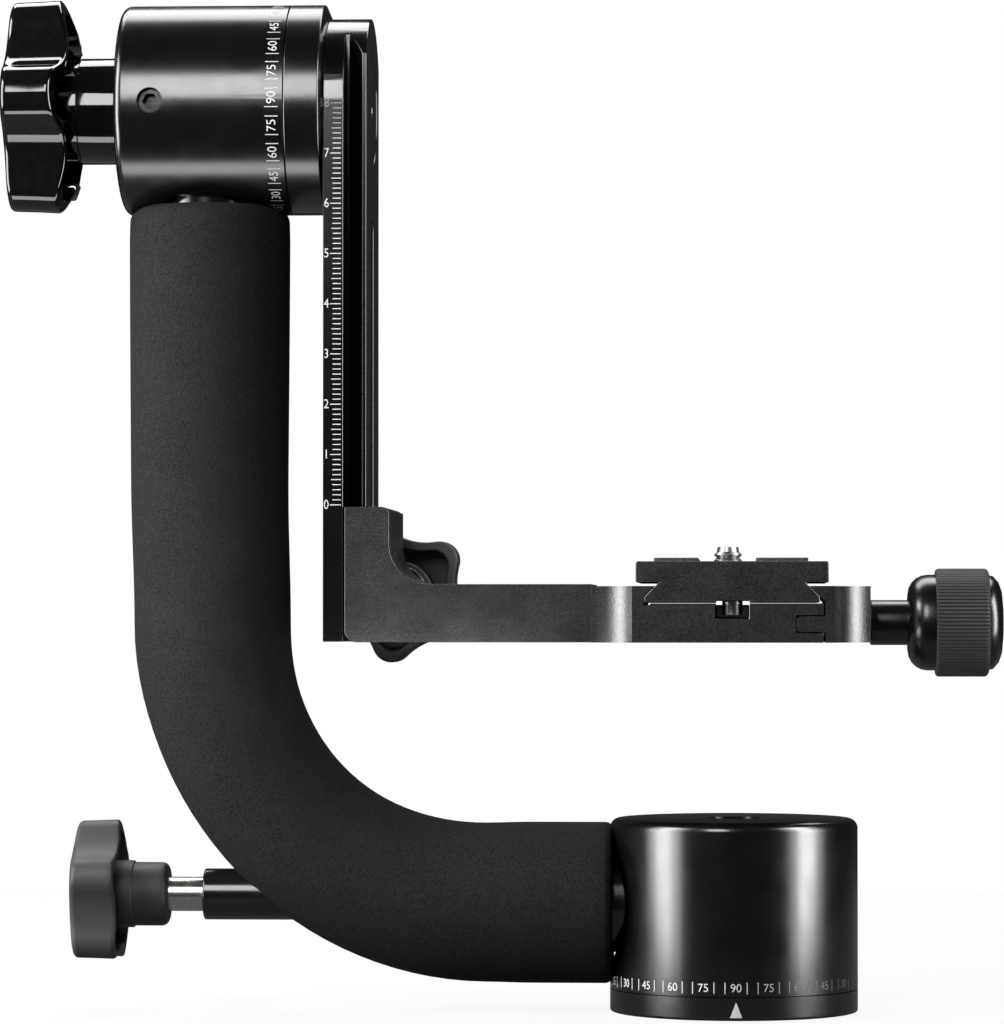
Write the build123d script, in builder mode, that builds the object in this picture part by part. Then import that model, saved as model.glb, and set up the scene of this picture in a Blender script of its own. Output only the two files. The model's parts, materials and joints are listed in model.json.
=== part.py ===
"""Gimbal tripod head: a panning base, a foam-gripped J arm, a tilting swing arm with a dovetail rail,
and a sliding platform that carries a quick-release clamp and plate.

Millimetres. +Z is up. The origin is on the pan axis at the bottom face of the base, in the mouth of
the tripod thread. +X points from the arm towards the clamp knob, and the lens looks along Y.
"""
from build123d import *
from math import cos, radians, sin, sqrt
import os

os.makedirs("parts", exist_ok=True)

# ---------------------------------------------------------------- clearances
SEAT = 0.05           # radial play of a piece seated in another piece of the same body
RUN = 0.07            # radial play of a shaft that turns or slides in a bore
FACE_GAP = 0.20       # axial gap between faces that turn past each other
SLIDE_GAP = 0.10      # gap between flat faces that slide past each other
CLEAR = 0.40          # gap round a piece that passes through without touching
SOCKET_SHARE = 0.48   # hexagon socket of a screw: half its width over flats, per head radius

# ---------------------------------------------------------------- pan base and housing
base_radius = 27.5
base_ring_height = 5.0
housing_top = 42.8
housing_edge = 2.2
recess_radius = 6.0
tripod_thread_radius = 3.97
insert_radius = 6.0
insert_length = 12.0
flange_radius = 12.4
flange_height = 2.6
upper_bearing_z = 30.0
spindle_shoulder = 1.4
base_screw_circle_radius = 11.0
base_screw_radius = 1.5
base_screw_length = 4.6
base_screw_head = 2.75
base_screw_head_height = 2.6
pan_screw_radius = 3.0
pan_screw_length = 12.0
pan_screw_head = 4.7
pan_screw_head_height = 4.0
washer_thickness = 1.5
arm_seat_inset = 3.9
arm_seat_radius = 13.75
arm_socket_inset = 9.0
arm_screw_inset = 4.9
arm_screw_radius = 2.5
arm_screw_length = 4.7

# ---------------------------------------------------------------- bearings, both axes
bearing_bore = 7.5
bearing_outer = 13.0
bearing_width = 5.0
race_wall = 1.7
ball_radius = 1.3
ball_count = 14
ring_width = 1.0
ring_bite = 0.8

# ---------------------------------------------------------------- arm
arm_x = -117.2
arm_z = 23.9
bend_radius = 62.0
tube_radius = 11.0
tube_wall = 2.0
tube_low_end = arm_socket_inset - base_radius
plug_height = 14.0
bolt_radius = 3.0
bolt_length = 12.0
bolt_head = 5.0
bolt_head_height = 3.0
foam_radius = 17.9
foam_bend_radius = 17.0
foam_taper = 12.0
foam_top = 179.3
foam_low_end = 0.6 - base_radius
foam_edge = 3.6

# ---------------------------------------------------------------- tilt axis
tilt_z = 201.0
tilt_radius = 23.5
tilt_left = arm_x - 19.0
tilt_right = arm_x + 18.5
tube_seat_drop = 16.0
tilt_edge = 2.0
tilt_end_wall = 3.3
tilt_seat_depth = 4.6
set_screw_x = tilt_left + 8.25
set_screw_radius = 2.75
rotor_right = tilt_right + 8.8
rotor_chamfer = 2.4
spindle_flange = 4.0
pilot_radius = 5.0

# ---------------------------------------------------------------- swing arm and its rail
swing_thickness = 9.25
swing_head_radius = 20.3
swing_bottom = 82.0
strip_thickness = 4.4
rail_root_half = 13.1
rail_root = 0.9
rail_lip_half = 17.2
rail_lip = 0.85
cap_radius = 12.5
cap_thickness = 1.6
cap_recess = 4.6
rotor_screw_circle_radius = 9.8
rotor_screw_radius = 1.5
rotor_screw_length = 8.0
rotor_screw_head = 2.6
rotor_screw_head_height = 2.6
spindle_flange_radius = 11.9
slot_half = 2.6
slot_depth = 1.6
slot_end_gap = 12.0

# ---------------------------------------------------------------- platform bracket
bracket_half = 20.7
bracket_left = rotor_right + strip_thickness + 0.42
bracket_right = bracket_left + 9.78
bracket_top = 111.6
bracket_bottom = 81.9
bracket_arm_top = 94.65
bracket_arm_end = -31.0
bracket_fillet = 8.8
rear_plate = 4.0
rear_boss_radius = 6.4
jaw_gap = 0.3
grip_x = bracket_left + 8.83
grip_z = 92.7
grip_screw_radius = 2.5

# ---------------------------------------------------------------- quick-release clamp and plate
clamp_x = -0.2
clamp_half = 25.0
clamp_bottom = bracket_bottom - 0.05
clamp_floor = clamp_bottom + 8.55
clamp_top = clamp_floor + 3.8
clamp_shoulder = -22.0
flare_radius = 11.0
body_right = 19.6
jaw_face = 22.3
jaw_right = 30.1
jaw_tail_half = 15.0
tongue_height = 3.4
tongue_reach = 5.4
tongue_z = clamp_bottom + 4.05
groove_half = 3.8
groove_depth = 3.35
plate_half = 21.0
plate_length = 2 * clamp_half
wing_bottom = clamp_top + 0.8
plate_top = wing_bottom + 4.6
neck_half = 15.9
dovetail_half = 19.05
plate_bottom = clamp_floor + 0.2
camera_x = -1.2
camera_thread_radius = 3.1
camera_thread_top = plate_top + 3.4
pad_proud = 0.8
pad_rounding = 1.2
pad_end_gap = 4.0
camera_slot_length = 14.0
screw_head_radius = 8.0
screw_head_height = 2.4
stop_inset = 6.0
stop_screw_radius = 1.5
stop_screw_length = 4.5
stop_screw_head = 2.2
stop_screw_head_height = 3.2
stop_key_half = 1.5
stop_key_height = 3.1

# ---------------------------------------------------------------- clamp knob
screw_z = clamp_bottom + 4.35
collar_radius = 5.0
dome_left = 38.6
dome_radius = 10.65
grip_ring_left = 44.7
grip_ring_right = 56.6
grip_ring_radius = 12.0
grip_ring_depth = 2.2
knob_end = 59.7
clamp_rod_radius = 3.0
clamp_rod_start = 5.6
dowel_radius = 2.0
dowel_length = 18.0
dowel_y = 12.0

# ---------------------------------------------------------------- star knobs
lobes = 5
tip_share = 0.27      # radius of a lobe's tip, per knob radius
cavity_share = 0.6    # depth of the hollow back, per knob depth
top_knob_radius = 25.0
top_knob_outer = tilt_left - 25.3
top_knob_inner = tilt_left - 11.5
top_knob_wall = 3.0
top_knob_valley = 0.72
top_knob_turn = 8.0
top_knob_edge = 1.2
top_knob_trim = 2.4
top_neck_radius = 11.7
top_neck_end = tilt_left - 9.9
top_hub_radius = 12.3
top_stud_radius = 4.0
low_knob_radius = 16.6
low_knob_outer = arm_x - 29.9
low_knob_inner = arm_x - 20.0
low_knob_wall = 2.2
low_knob_valley = 0.74
low_knob_turn = 13.0
low_knob_edge = 1.2
low_knob_trim = 1.0
low_neck_radius = 7.8
low_neck_end = arm_x - 16.6
low_hub_radius = 7.3
low_hub_end = arm_x - 8.4
rear_knob_radius = 16.0
rear_knob_hub = 7.4
rear_knob_depth = 10.5
rear_knob_wall = 2.8
rear_knob_valley = 0.756
rear_knob_turn = -42.0
rear_knob_edge = 1.2
rear_knob_trim = 0.8
rear_knob_stand_off = 3.0

# ---------------------------------------------------------------- pan lock rod
rod_z = 25.5
bush_length = 8.0
rod_radius = 3.83
rod_tip = 12.0
guide_radius = 5.7
guide_wall = 1.1
guide_left = arm_x - 1.0
guide_right = arm_x + 51.0

kept = []


def keep(part, label):
    """Label a finished piece and write its file."""
    part.label = label
    export_step(part, "parts/" + label + ".step")
    kept.append(part)


def x_plane(x, z):
    """A sketch plane across the X direction: its normal is +X, its up is +Z."""
    return Plane(origin=(x, 0, z), x_dir=(0, 1, 0), z_dir=(1, 0, 0))


def ring(label, plane, outer, inner, width):
    """A plain ring or washer standing on the plane."""
    with BuildPart() as made:
        with BuildSketch(plane):
            Circle(outer)
            Circle(inner, mode=Mode.SUBTRACT)
        extrude(amount=width)
    keep(made.part, label)


def bearing(name, plane):
    """A deep-groove ball bearing on the plane: inner race, outer race and its balls."""
    ball_circle = (bearing_bore + bearing_outer) / 2
    middle = plane.offset(bearing_width / 2)
    groove = ball_radius + SEAT
    with BuildPart() as inner:
        with BuildSketch(plane):
            Circle(bearing_bore + race_wall)
            Circle(bearing_bore + SEAT, mode=Mode.SUBTRACT)
        extrude(amount=bearing_width)
        with BuildSketch(Plane(origin=middle.origin, x_dir=plane.x_dir, z_dir=-plane.y_dir)):
            with Locations((ball_circle, 0)):
                Circle(groove)
        revolve(axis=Axis(plane.origin, plane.z_dir), mode=Mode.SUBTRACT)
    keep(inner.part, name + "_inner_race")
    with BuildPart() as outer:
        with BuildSketch(plane):
            Circle(bearing_outer)
            Circle(bearing_outer - race_wall, mode=Mode.SUBTRACT)
        extrude(amount=bearing_width)
        with BuildSketch(Plane(origin=middle.origin, x_dir=plane.x_dir, z_dir=-plane.y_dir)):
            with Locations((ball_circle, 0)):
                Circle(groove)
        revolve(axis=Axis(plane.origin, plane.z_dir), mode=Mode.SUBTRACT)
    keep(outer.part, name + "_outer_race")
    with BuildPart() as balls:
        with Locations(middle):
            with PolarLocations(ball_circle, ball_count):
                Sphere(ball_radius)
    keep(balls.part, name + "_balls")


def socket_screws(label, seats, shank, length, head, head_height):
    """Socket-head cap screws; each seat plane lies under a head, its normal towards the head."""
    with BuildPart() as made:
        for seat in seats:
            with BuildSketch(seat):
                Circle(head)
            extrude(amount=head_height)
            with BuildSketch(seat):
                Circle(shank)
            extrude(amount=-length)
            with BuildSketch(seat.offset(head_height)):
                RegularPolygon(head * SOCKET_SHARE, 6, major_radius=False)
            extrude(amount=-head_height * 0.55, mode=Mode.SUBTRACT)
    keep(made.part, label)


def star_arcs(outer, valley, turn):
    """Arcs of a star outline as (start, middle, end): round lobe tips joined by hollow flanks."""
    tip = outer * tip_share
    reach = outer - tip
    low = outer * valley
    half = 180 / lobes
    away = (reach ** 2 - (tip - low) ** 2) / (2 * (tip - low + reach * cos(radians(half))))
    share = tip / (tip + away - low)
    arcs = []
    for lobe in range(lobes):
        middle = turn + 2 * half * lobe
        centre = Vector(reach, 0).rotate(Axis.Z, middle)
        ends = []
        for side in (-half, half):
            beyond = Vector(away, 0).rotate(Axis.Z, middle + side)
            ends.append(centre + (beyond - centre) * share)
        arcs.append((ends[0], Vector(outer, 0).rotate(Axis.Z, middle), ends[1]))
        arcs.append((
            ends[1],
            Vector(low, 0).rotate(Axis.Z, middle + half),
            ends[0].rotate(Axis.Z, 2 * half),
        ))
    return arcs


def star_knob(label, face, outer, depth, wall, valley, turn, edge, trim, steps, bore):
    """A hollow-backed star knob. The face is its outer face, with the normal pointing out of the knob.

    The trim is how much shallower the knob is at its lobe tips than at its valleys. The steps are the
    sections of its hub as (radius, far end), with each far end measured from the face.
    """
    floor = depth * (1 - cavity_share)
    low = outer * valley
    with BuildPart() as made:
        with BuildSketch(face):
            with BuildLine():
                for arc in star_arcs(outer, valley, turn):
                    ThreePointArc(*arc)
            make_face()
        extrude(amount=-depth)
        fillet(faces().sort_by(Axis(face.origin, face.z_dir))[-1].edges(), edge)
        with BuildSketch(face.offset(-depth)):
            with BuildLine():
                for arc in star_arcs(outer - wall, valley, turn):
                    ThreePointArc(*arc)
            make_face()
        extrude(amount=depth - floor, mode=Mode.SUBTRACT)
        with BuildSketch(Plane(origin=face.origin, x_dir=face.x_dir, z_dir=-face.y_dir)):
            rim = outer + 1
            Polygon(
                (low, -depth),
                (rim, -depth),
                (rim, -depth + trim * (rim - low) / (outer - low)),
                align=None,
            )
        revolve(axis=Axis(face.origin, face.z_dir), mode=Mode.SUBTRACT)
        near = floor
        for radius, far in steps:
            with BuildSketch(face.offset(-near)):
                Circle(radius)
            extrude(amount=near - far)
            near = far
        with BuildSketch(face.offset(-near)):
            Circle(bore)
        extrude(amount=near - floor - 1.0, mode=Mode.SUBTRACT)
    keep(made.part, label)


# ================================================================ base
ring_top = base_ring_height
flange_top = ring_top + flange_height
lower_bearing_z = flange_top + spindle_shoulder
upper_bearing_top = upper_bearing_z + bearing_width
washer_top = upper_bearing_top + washer_thickness
shoulder_radius = bearing_bore + race_wall - 0.2
spindle_top = upper_bearing_top - 0.2

with BuildPart() as base_plate:
    with BuildSketch():
        Circle(base_radius)
    extrude(amount=ring_top)
    fillet(edges().filter_by(GeomType.CIRCLE).sort_by(Axis.Z)[0], 0.6)
    with BuildSketch():
        Circle(insert_radius + SEAT)
        with PolarLocations(base_screw_circle_radius, 3):
            Circle(base_screw_radius + 0.2)
    extrude(amount=ring_top, mode=Mode.SUBTRACT)
    with BuildSketch():
        with PolarLocations(base_screw_circle_radius, 3):
            Circle(base_screw_head + 0.2)
    extrude(amount=base_screw_head_height + 0.2, mode=Mode.SUBTRACT)
keep(base_plate.part, "base_plate")

with BuildPart() as thread_insert:
    with BuildSketch():
        Circle(insert_radius)
        Circle(tripod_thread_radius, mode=Mode.SUBTRACT)
    extrude(amount=insert_length)
    chamfer(edges().filter_by(GeomType.CIRCLE).sort_by(Axis.Z)[-1], 0.4)
keep(thread_insert.part, "tripod_thread_insert")

with BuildPart() as pan_spindle:
    with BuildSketch(Plane.XY.offset(ring_top)):
        Circle(flange_radius)
    extrude(amount=flange_height)
    with BuildSketch(Plane.XY.offset(flange_top)):
        Circle(shoulder_radius)
    extrude(amount=lower_bearing_z - flange_top)
    with BuildSketch(Plane.XY.offset(lower_bearing_z)):
        Circle(bearing_bore)
    extrude(amount=spindle_top - lower_bearing_z)
    with BuildSketch(Plane.XY.offset(ring_top)):
        Circle(insert_radius + SEAT)
    extrude(amount=insert_length + 0.3 - ring_top, mode=Mode.SUBTRACT)
    with BuildSketch(Plane.XY.offset(spindle_top)):
        Circle(pan_screw_radius + SEAT)
    extrude(amount=-pan_screw_length - 2.0, mode=Mode.SUBTRACT)
    with BuildSketch(Plane.XY.offset(ring_top)):
        with PolarLocations(base_screw_circle_radius, 3):
            Circle(base_screw_radius + SEAT)
    extrude(amount=flange_height, mode=Mode.SUBTRACT)
keep(pan_spindle.part, "pan_spindle")

base_screw_seats = []
for turn in range(3):
    spot_x = base_screw_circle_radius * cos(radians(120 * turn))
    spot_y = base_screw_circle_radius * sin(radians(120 * turn))
    base_screw_seats.append(
        Plane(origin=(spot_x, spot_y, base_screw_head_height + 0.2), x_dir=(1, 0, 0), z_dir=(0, 0, -1))
    )
socket_screws("base_screws", base_screw_seats, base_screw_radius, base_screw_length, base_screw_head,
              base_screw_head_height)

bearing("pan_lower_bearing", Plane.XY.offset(lower_bearing_z))
bearing("pan_upper_bearing", Plane.XY.offset(upper_bearing_z))
ring("pan_washer", Plane.XY.offset(upper_bearing_top), shoulder_radius, pan_screw_radius + 0.2,
     washer_thickness)
socket_screws("pan_spindle_screw", [Plane.XY.offset(washer_top)], pan_screw_radius, pan_screw_length,
              pan_screw_head, pan_screw_head_height)

# ================================================================ pan housing
housing_low = ring_top + FACE_GAP
ring_z = lower_bearing_z - ring_width
arm_screw_x = arm_screw_inset - base_radius
arm_screw_z = arm_z - tube_radius - 0.1 - arm_screw_length

with BuildPart() as pan_housing:
    with BuildSketch(Plane.XY.offset(housing_low)):
        Circle(base_radius)
    extrude(amount=housing_top - housing_low)
    fillet(edges().filter_by(GeomType.CIRCLE).sort_by(Axis.Z)[-1], housing_edge)
    with BuildSketch(Plane.XY.offset(housing_low)):
        Circle(bearing_outer + SEAT)
    extrude(amount=upper_bearing_top - housing_low, mode=Mode.SUBTRACT)
    with BuildSketch(Plane.XY.offset(upper_bearing_top)):
        Circle(bearing_outer - race_wall)
    extrude(amount=2.0, mode=Mode.SUBTRACT)
    with BuildSketch(Plane.XY.offset(upper_bearing_top)):
        Circle(recess_radius)
    extrude(amount=housing_top - upper_bearing_top, mode=Mode.SUBTRACT)
    with BuildSketch(Plane.XY.offset(ring_z - SEAT)):
        Circle(bearing_outer + ring_bite + SEAT)
    extrude(amount=ring_width + SEAT, mode=Mode.SUBTRACT)
    with BuildSketch(x_plane(-base_radius - 1, arm_z)):
        Circle(arm_seat_radius)
    extrude(amount=arm_seat_inset + 1, mode=Mode.SUBTRACT)
    with BuildSketch(x_plane(-base_radius - 1, arm_z)):
        Circle(tube_radius + SEAT)
    extrude(amount=arm_socket_inset + 1 + SEAT, mode=Mode.SUBTRACT)
    with BuildSketch(x_plane(-base_radius, rod_z)):
        Circle(rod_radius + RUN)
    extrude(amount=base_radius, mode=Mode.SUBTRACT)
    with BuildSketch(Plane.XY.offset(housing_low)):
        with Locations((arm_screw_x, 0)):
            Circle(arm_screw_radius + SEAT)
    extrude(amount=arm_z - tube_radius + 1 - housing_low, mode=Mode.SUBTRACT)
keep(pan_housing.part, "pan_housing")

ring("pan_retaining_ring", Plane.XY.offset(ring_z - SEAT / 2), bearing_outer + ring_bite,
     bearing_outer - race_wall + 0.2, ring_width)

with BuildPart() as arm_set_screw:
    with BuildSketch(Plane(origin=(arm_screw_x, 0, arm_screw_z))):
        Circle(arm_screw_radius)
    extrude(amount=arm_screw_length)
    with BuildSketch(Plane(origin=(arm_screw_x, 0, arm_screw_z))):
        RegularPolygon(arm_screw_radius / 2, 6, major_radius=False)
    extrude(amount=arm_screw_length / 2, mode=Mode.SUBTRACT)
keep(arm_set_screw.part, "arm_set_screw")

# ================================================================ arm tube, plug and foam grip
bend_x = arm_x + bend_radius
bend_z = arm_z + bend_radius
tube_top = tilt_z - tube_seat_drop
guide_hole = guide_radius + SEAT


def arm_solid(radius, low_end, top_end):
    """Add the J-shaped arm to the open part as a solid round bar: level run, quarter bend, upright."""
    with BuildSketch(x_plane(bend_x, arm_z)) as level:
        Circle(radius)
    with BuildSketch(Plane(origin=(arm_x, 0, bend_z))) as upright:
        Circle(radius)
    extrude(level.sketch, amount=low_end - bend_x)
    revolve(level.sketch, axis=Axis((bend_x, 0, bend_z), (0, 1, 0)), revolution_arc=90)
    extrude(upright.sketch, amount=top_end - bend_z)


with BuildPart() as arm_core:
    arm_solid(tube_radius - tube_wall, tube_low_end + 1, tube_top + 1)

with BuildPart() as arm_tube:
    arm_solid(tube_radius, tube_low_end, tube_top)
    add(arm_core.part, mode=Mode.SUBTRACT)
    with BuildSketch(x_plane(guide_left, rod_z)):
        Circle(guide_hole)
    extrude(amount=guide_right - guide_left, mode=Mode.SUBTRACT)
keep(arm_tube.part, "arm_tube")

bolt_seat_z = tilt_z - bearing_outer - 0.8

with BuildPart() as arm_plug:
    with BuildSketch(Plane(origin=(arm_x, 0, tube_top - plug_height))):
        Circle(tube_radius - tube_wall - SEAT)
        Circle(bolt_radius + SEAT, mode=Mode.SUBTRACT)
    extrude(amount=plug_height)
keep(arm_plug.part, "arm_plug")

socket_screws("arm_bolt", [Plane(origin=(arm_x, 0, bolt_seat_z))], bolt_radius, bolt_length, bolt_head,
              bolt_head_height)

with BuildPart() as foam_bore:
    arm_solid(tube_radius + SEAT, foam_low_end + 1, foam_top + 1)

with BuildPart() as foam_grip:
    with BuildSketch(x_plane(bend_x + foam_taper, arm_z)):
        Circle(foam_radius)
    extrude(amount=foam_low_end - bend_x - foam_taper)
    fillet(edges().filter_by(GeomType.CIRCLE).sort_by(Axis.X)[-1], foam_edge * 0.4)
    with BuildSketch(x_plane(bend_x, arm_z)):
        Circle(foam_bend_radius)
    with BuildSketch(x_plane(bend_x + foam_taper, arm_z)):
        Circle(foam_radius)
    loft()
    with BuildSketch(x_plane(bend_x, arm_z)):
        Circle(foam_bend_radius)
    revolve(axis=Axis((bend_x, 0, bend_z), (0, 1, 0)), revolution_arc=90)
    with BuildSketch(Plane(origin=(arm_x, 0, bend_z))):
        Circle(foam_bend_radius)
    with BuildSketch(Plane(origin=(arm_x, 0, bend_z + foam_taper))):
        Circle(foam_radius)
    loft()
    with BuildSketch(Plane(origin=(arm_x, 0, bend_z + foam_taper))):
        Circle(foam_radius)
    extrude(amount=foam_top - bend_z - foam_taper)
    fillet(edges().filter_by(GeomType.CIRCLE).sort_by(Axis.Z)[-1], foam_edge)
    add(foam_bore.part, mode=Mode.SUBTRACT)
    with BuildSketch(Plane.XY):
        Circle(base_radius + 0.25)
    extrude(amount=housing_top + 2, mode=Mode.SUBTRACT)
    with BuildSketch(x_plane(tilt_left, tilt_z)):
        Circle(tilt_radius + 0.1)
    extrude(amount=tilt_right - tilt_left, mode=Mode.SUBTRACT)
    with BuildSketch(x_plane(guide_left - 10, rod_z)):
        Circle(guide_hole)
    extrude(amount=bend_x - guide_left + 10, mode=Mode.SUBTRACT)
keep(foam_grip.part, "foam_grip")

# ================================================================ pan lock
with BuildPart() as guide_tube:
    with BuildSketch(x_plane(guide_left, rod_z)):
        Circle(guide_radius)
        Circle(guide_radius - guide_wall, mode=Mode.SUBTRACT)
    extrude(amount=guide_right - guide_left)
    fillet(edges().filter_by(GeomType.CIRCLE).group_by(Axis.X)[0].sort_by(SortBy.RADIUS)[-1], 0.5)
keep(guide_tube.part, "lock_guide_tube")

ring("lock_guide_bush", x_plane(guide_left + 0.4, rod_z), guide_radius - guide_wall - SEAT,
     rod_radius + RUN, bush_length)

with BuildPart() as pan_rod:
    with BuildSketch(x_plane(low_knob_inner, rod_z)):
        Circle(rod_radius)
    extrude(amount=-rod_tip - FACE_GAP - low_knob_inner)
    chamfer(edges().filter_by(GeomType.CIRCLE).sort_by(Axis.X)[-1], 0.5)
keep(pan_rod.part, "pan_lock_rod")

with BuildPart() as pan_pad:
    with BuildSketch(x_plane(-rod_tip, rod_z)):
        Circle(rod_radius)
    extrude(amount=rod_tip - bearing_bore - 0.1)
    with BuildSketch(Plane.XY.offset(rod_z - rod_radius - 1)):
        Circle(bearing_bore + SLIDE_GAP)
    extrude(amount=2 * rod_radius + 2, mode=Mode.SUBTRACT)
keep(pan_pad.part, "pan_brake_pad")

low_face = Plane(origin=(low_knob_outer, 0, rod_z), x_dir=(0, -1, 0), z_dir=(-1, 0, 0))
low_steps = [
    (low_neck_radius, low_neck_end - low_knob_outer),
    (low_hub_radius, low_hub_end - low_knob_outer),
]
star_knob("pan_lock_knob", low_face, low_knob_radius, low_knob_inner - low_knob_outer, low_knob_wall,
          low_knob_valley, low_knob_turn, low_knob_edge, low_knob_trim, low_steps, rod_radius + SEAT)

# ================================================================ tilt housing
bearing_bore_end = tilt_left + tilt_end_wall + 2.8
left_bearing_x = bearing_bore_end
right_bearing_x = tilt_right - 7.3
tilt_ring_x = right_bearing_x + bearing_width
spindle_left = left_bearing_x - 2.2

with BuildPart() as tilt_housing:
    with BuildSketch(x_plane(tilt_left, tilt_z)):
        Circle(tilt_radius)
    extrude(amount=tilt_right - tilt_left)
    fillet(edges().filter_by(GeomType.CIRCLE).sort_by(Axis.X)[0], tilt_edge)
    with BuildSketch(x_plane(bearing_bore_end, tilt_z)):
        Circle(bearing_outer + SEAT)
    extrude(amount=tilt_right - bearing_bore_end, mode=Mode.SUBTRACT)
    with BuildSketch(x_plane(tilt_left + tilt_end_wall, tilt_z)):
        Circle(bearing_outer - race_wall)
    extrude(amount=bearing_bore_end - tilt_left - tilt_end_wall, mode=Mode.SUBTRACT)
    with BuildSketch(x_plane(tilt_left, tilt_z)):
        Circle(top_stud_radius + RUN)
    extrude(amount=tilt_end_wall, mode=Mode.SUBTRACT)
    with BuildSketch(x_plane(tilt_ring_x, tilt_z)):
        Circle(bearing_outer + ring_bite + SEAT)
    extrude(amount=ring_width + SEAT, mode=Mode.SUBTRACT)
    with BuildSketch(Plane(origin=(arm_x, 0, tilt_z - tilt_radius - 1))):
        Circle(tube_radius + SEAT)
    extrude(amount=tube_top + SEAT - (tilt_z - tilt_radius - 1), mode=Mode.SUBTRACT)
    with BuildSketch(Plane(origin=(arm_x, 0, tilt_z - tilt_radius - 1))):
        Circle(arm_seat_radius)
    extrude(amount=tilt_seat_depth, mode=Mode.SUBTRACT)
    with BuildSketch(Plane(origin=(arm_x, 0, tube_top))):
        Circle(bolt_radius + 0.2)
    extrude(amount=5.0, mode=Mode.SUBTRACT)
    with BuildSketch(Plane(origin=(arm_x, 0, bolt_seat_z))):
        Circle(bolt_head + 0.3)
    extrude(amount=bolt_head_height + 1, mode=Mode.SUBTRACT)
    with BuildSketch(Plane(origin=(set_screw_x, 0, tilt_z), x_dir=(1, 0, 0), z_dir=(0, -1, 0))):
        Circle(set_screw_radius + SEAT)
    extrude(amount=tilt_radius, mode=Mode.SUBTRACT)
keep(tilt_housing.part, "tilt_housing")

set_screw_length = tilt_radius - bearing_outer - 2.2
set_screw_foot = Plane(
    origin=(set_screw_x, -bearing_outer - 0.2, tilt_z), x_dir=(1, 0, 0), z_dir=(0, -1, 0)
)

with BuildPart() as tilt_set_screw:
    with BuildSketch(set_screw_foot):
        Circle(set_screw_radius)
    extrude(amount=set_screw_length)
    with BuildSketch(set_screw_foot.offset(set_screw_length)):
        RegularPolygon(set_screw_radius * 0.55, 6, major_radius=False)
    extrude(amount=-2.5, mode=Mode.SUBTRACT)
keep(tilt_set_screw.part, "tilt_set_screw")

bearing("tilt_left_bearing", x_plane(left_bearing_x, tilt_z))
bearing("tilt_right_bearing", x_plane(right_bearing_x, tilt_z))
ring("tilt_retaining_ring", x_plane(tilt_ring_x + SEAT / 2, tilt_z), bearing_outer + ring_bite,
     bearing_outer - race_wall + 0.2, ring_width)
ring("tilt_spindle_nut", x_plane(spindle_left + 0.2, tilt_z), bearing_bore + race_wall - 0.2,
     bearing_bore + SEAT, left_bearing_x - spindle_left - 0.2)

# ================================================================ tilt spindle, rotor and swing arm
rotor_left = tilt_right + FACE_GAP
flange_left = rotor_left + 0.1
flange_right = flange_left + spindle_flange
swing_left = rotor_right
swing_right = swing_left + swing_thickness
cap_floor = swing_right - cap_recess
rail_start = swing_left + strip_thickness
rotor_screw_spots = [45, 135, 225, 315]

with BuildPart() as tilt_spindle:
    with BuildSketch(x_plane(spindle_left, tilt_z)):
        Circle(bearing_bore)
    extrude(amount=tilt_ring_x - spindle_left)
    with BuildSketch(x_plane(tilt_ring_x, tilt_z)):
        Circle(bearing_bore + race_wall - 0.2)
    extrude(amount=flange_left - tilt_ring_x)
    with BuildSketch(x_plane(flange_left, tilt_z)):
        Circle(spindle_flange_radius)
    extrude(amount=spindle_flange)
    with BuildSketch(x_plane(flange_right, tilt_z)):
        Circle(pilot_radius)
    extrude(amount=cap_floor - 0.2 - flange_right)
    with BuildSketch(x_plane(flange_left, tilt_z)):
        with PolarLocations(rotor_screw_circle_radius, 4, start_angle=45):
            Circle(rotor_screw_radius + SEAT)
    extrude(amount=spindle_flange, mode=Mode.SUBTRACT)
keep(tilt_spindle.part, "tilt_spindle")

with BuildPart() as rotor:
    with BuildSketch(x_plane(rotor_left, tilt_z)):
        Circle(tilt_radius)
    extrude(amount=rotor_right - rotor_left)
    chamfer(edges().filter_by(GeomType.CIRCLE).sort_by(Axis.X)[-1], 1.0, rotor_chamfer)
    with BuildSketch(x_plane(rotor_left, tilt_z)):
        Circle(spindle_flange_radius + SEAT)
    extrude(amount=flange_right - rotor_left, mode=Mode.SUBTRACT)
    with BuildSketch(x_plane(flange_right, tilt_z)):
        Circle(pilot_radius + SEAT)
        with PolarLocations(rotor_screw_circle_radius, 4, start_angle=45):
            Circle(rotor_screw_radius + 0.2)
    extrude(amount=rotor_right - flange_right, mode=Mode.SUBTRACT)
keep(rotor.part, "tilt_rotor")

swing_height = tilt_z - swing_bottom
slot_top = tilt_z - cap_radius - slot_end_gap
slot_bottom = swing_bottom + slot_end_gap

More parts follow.
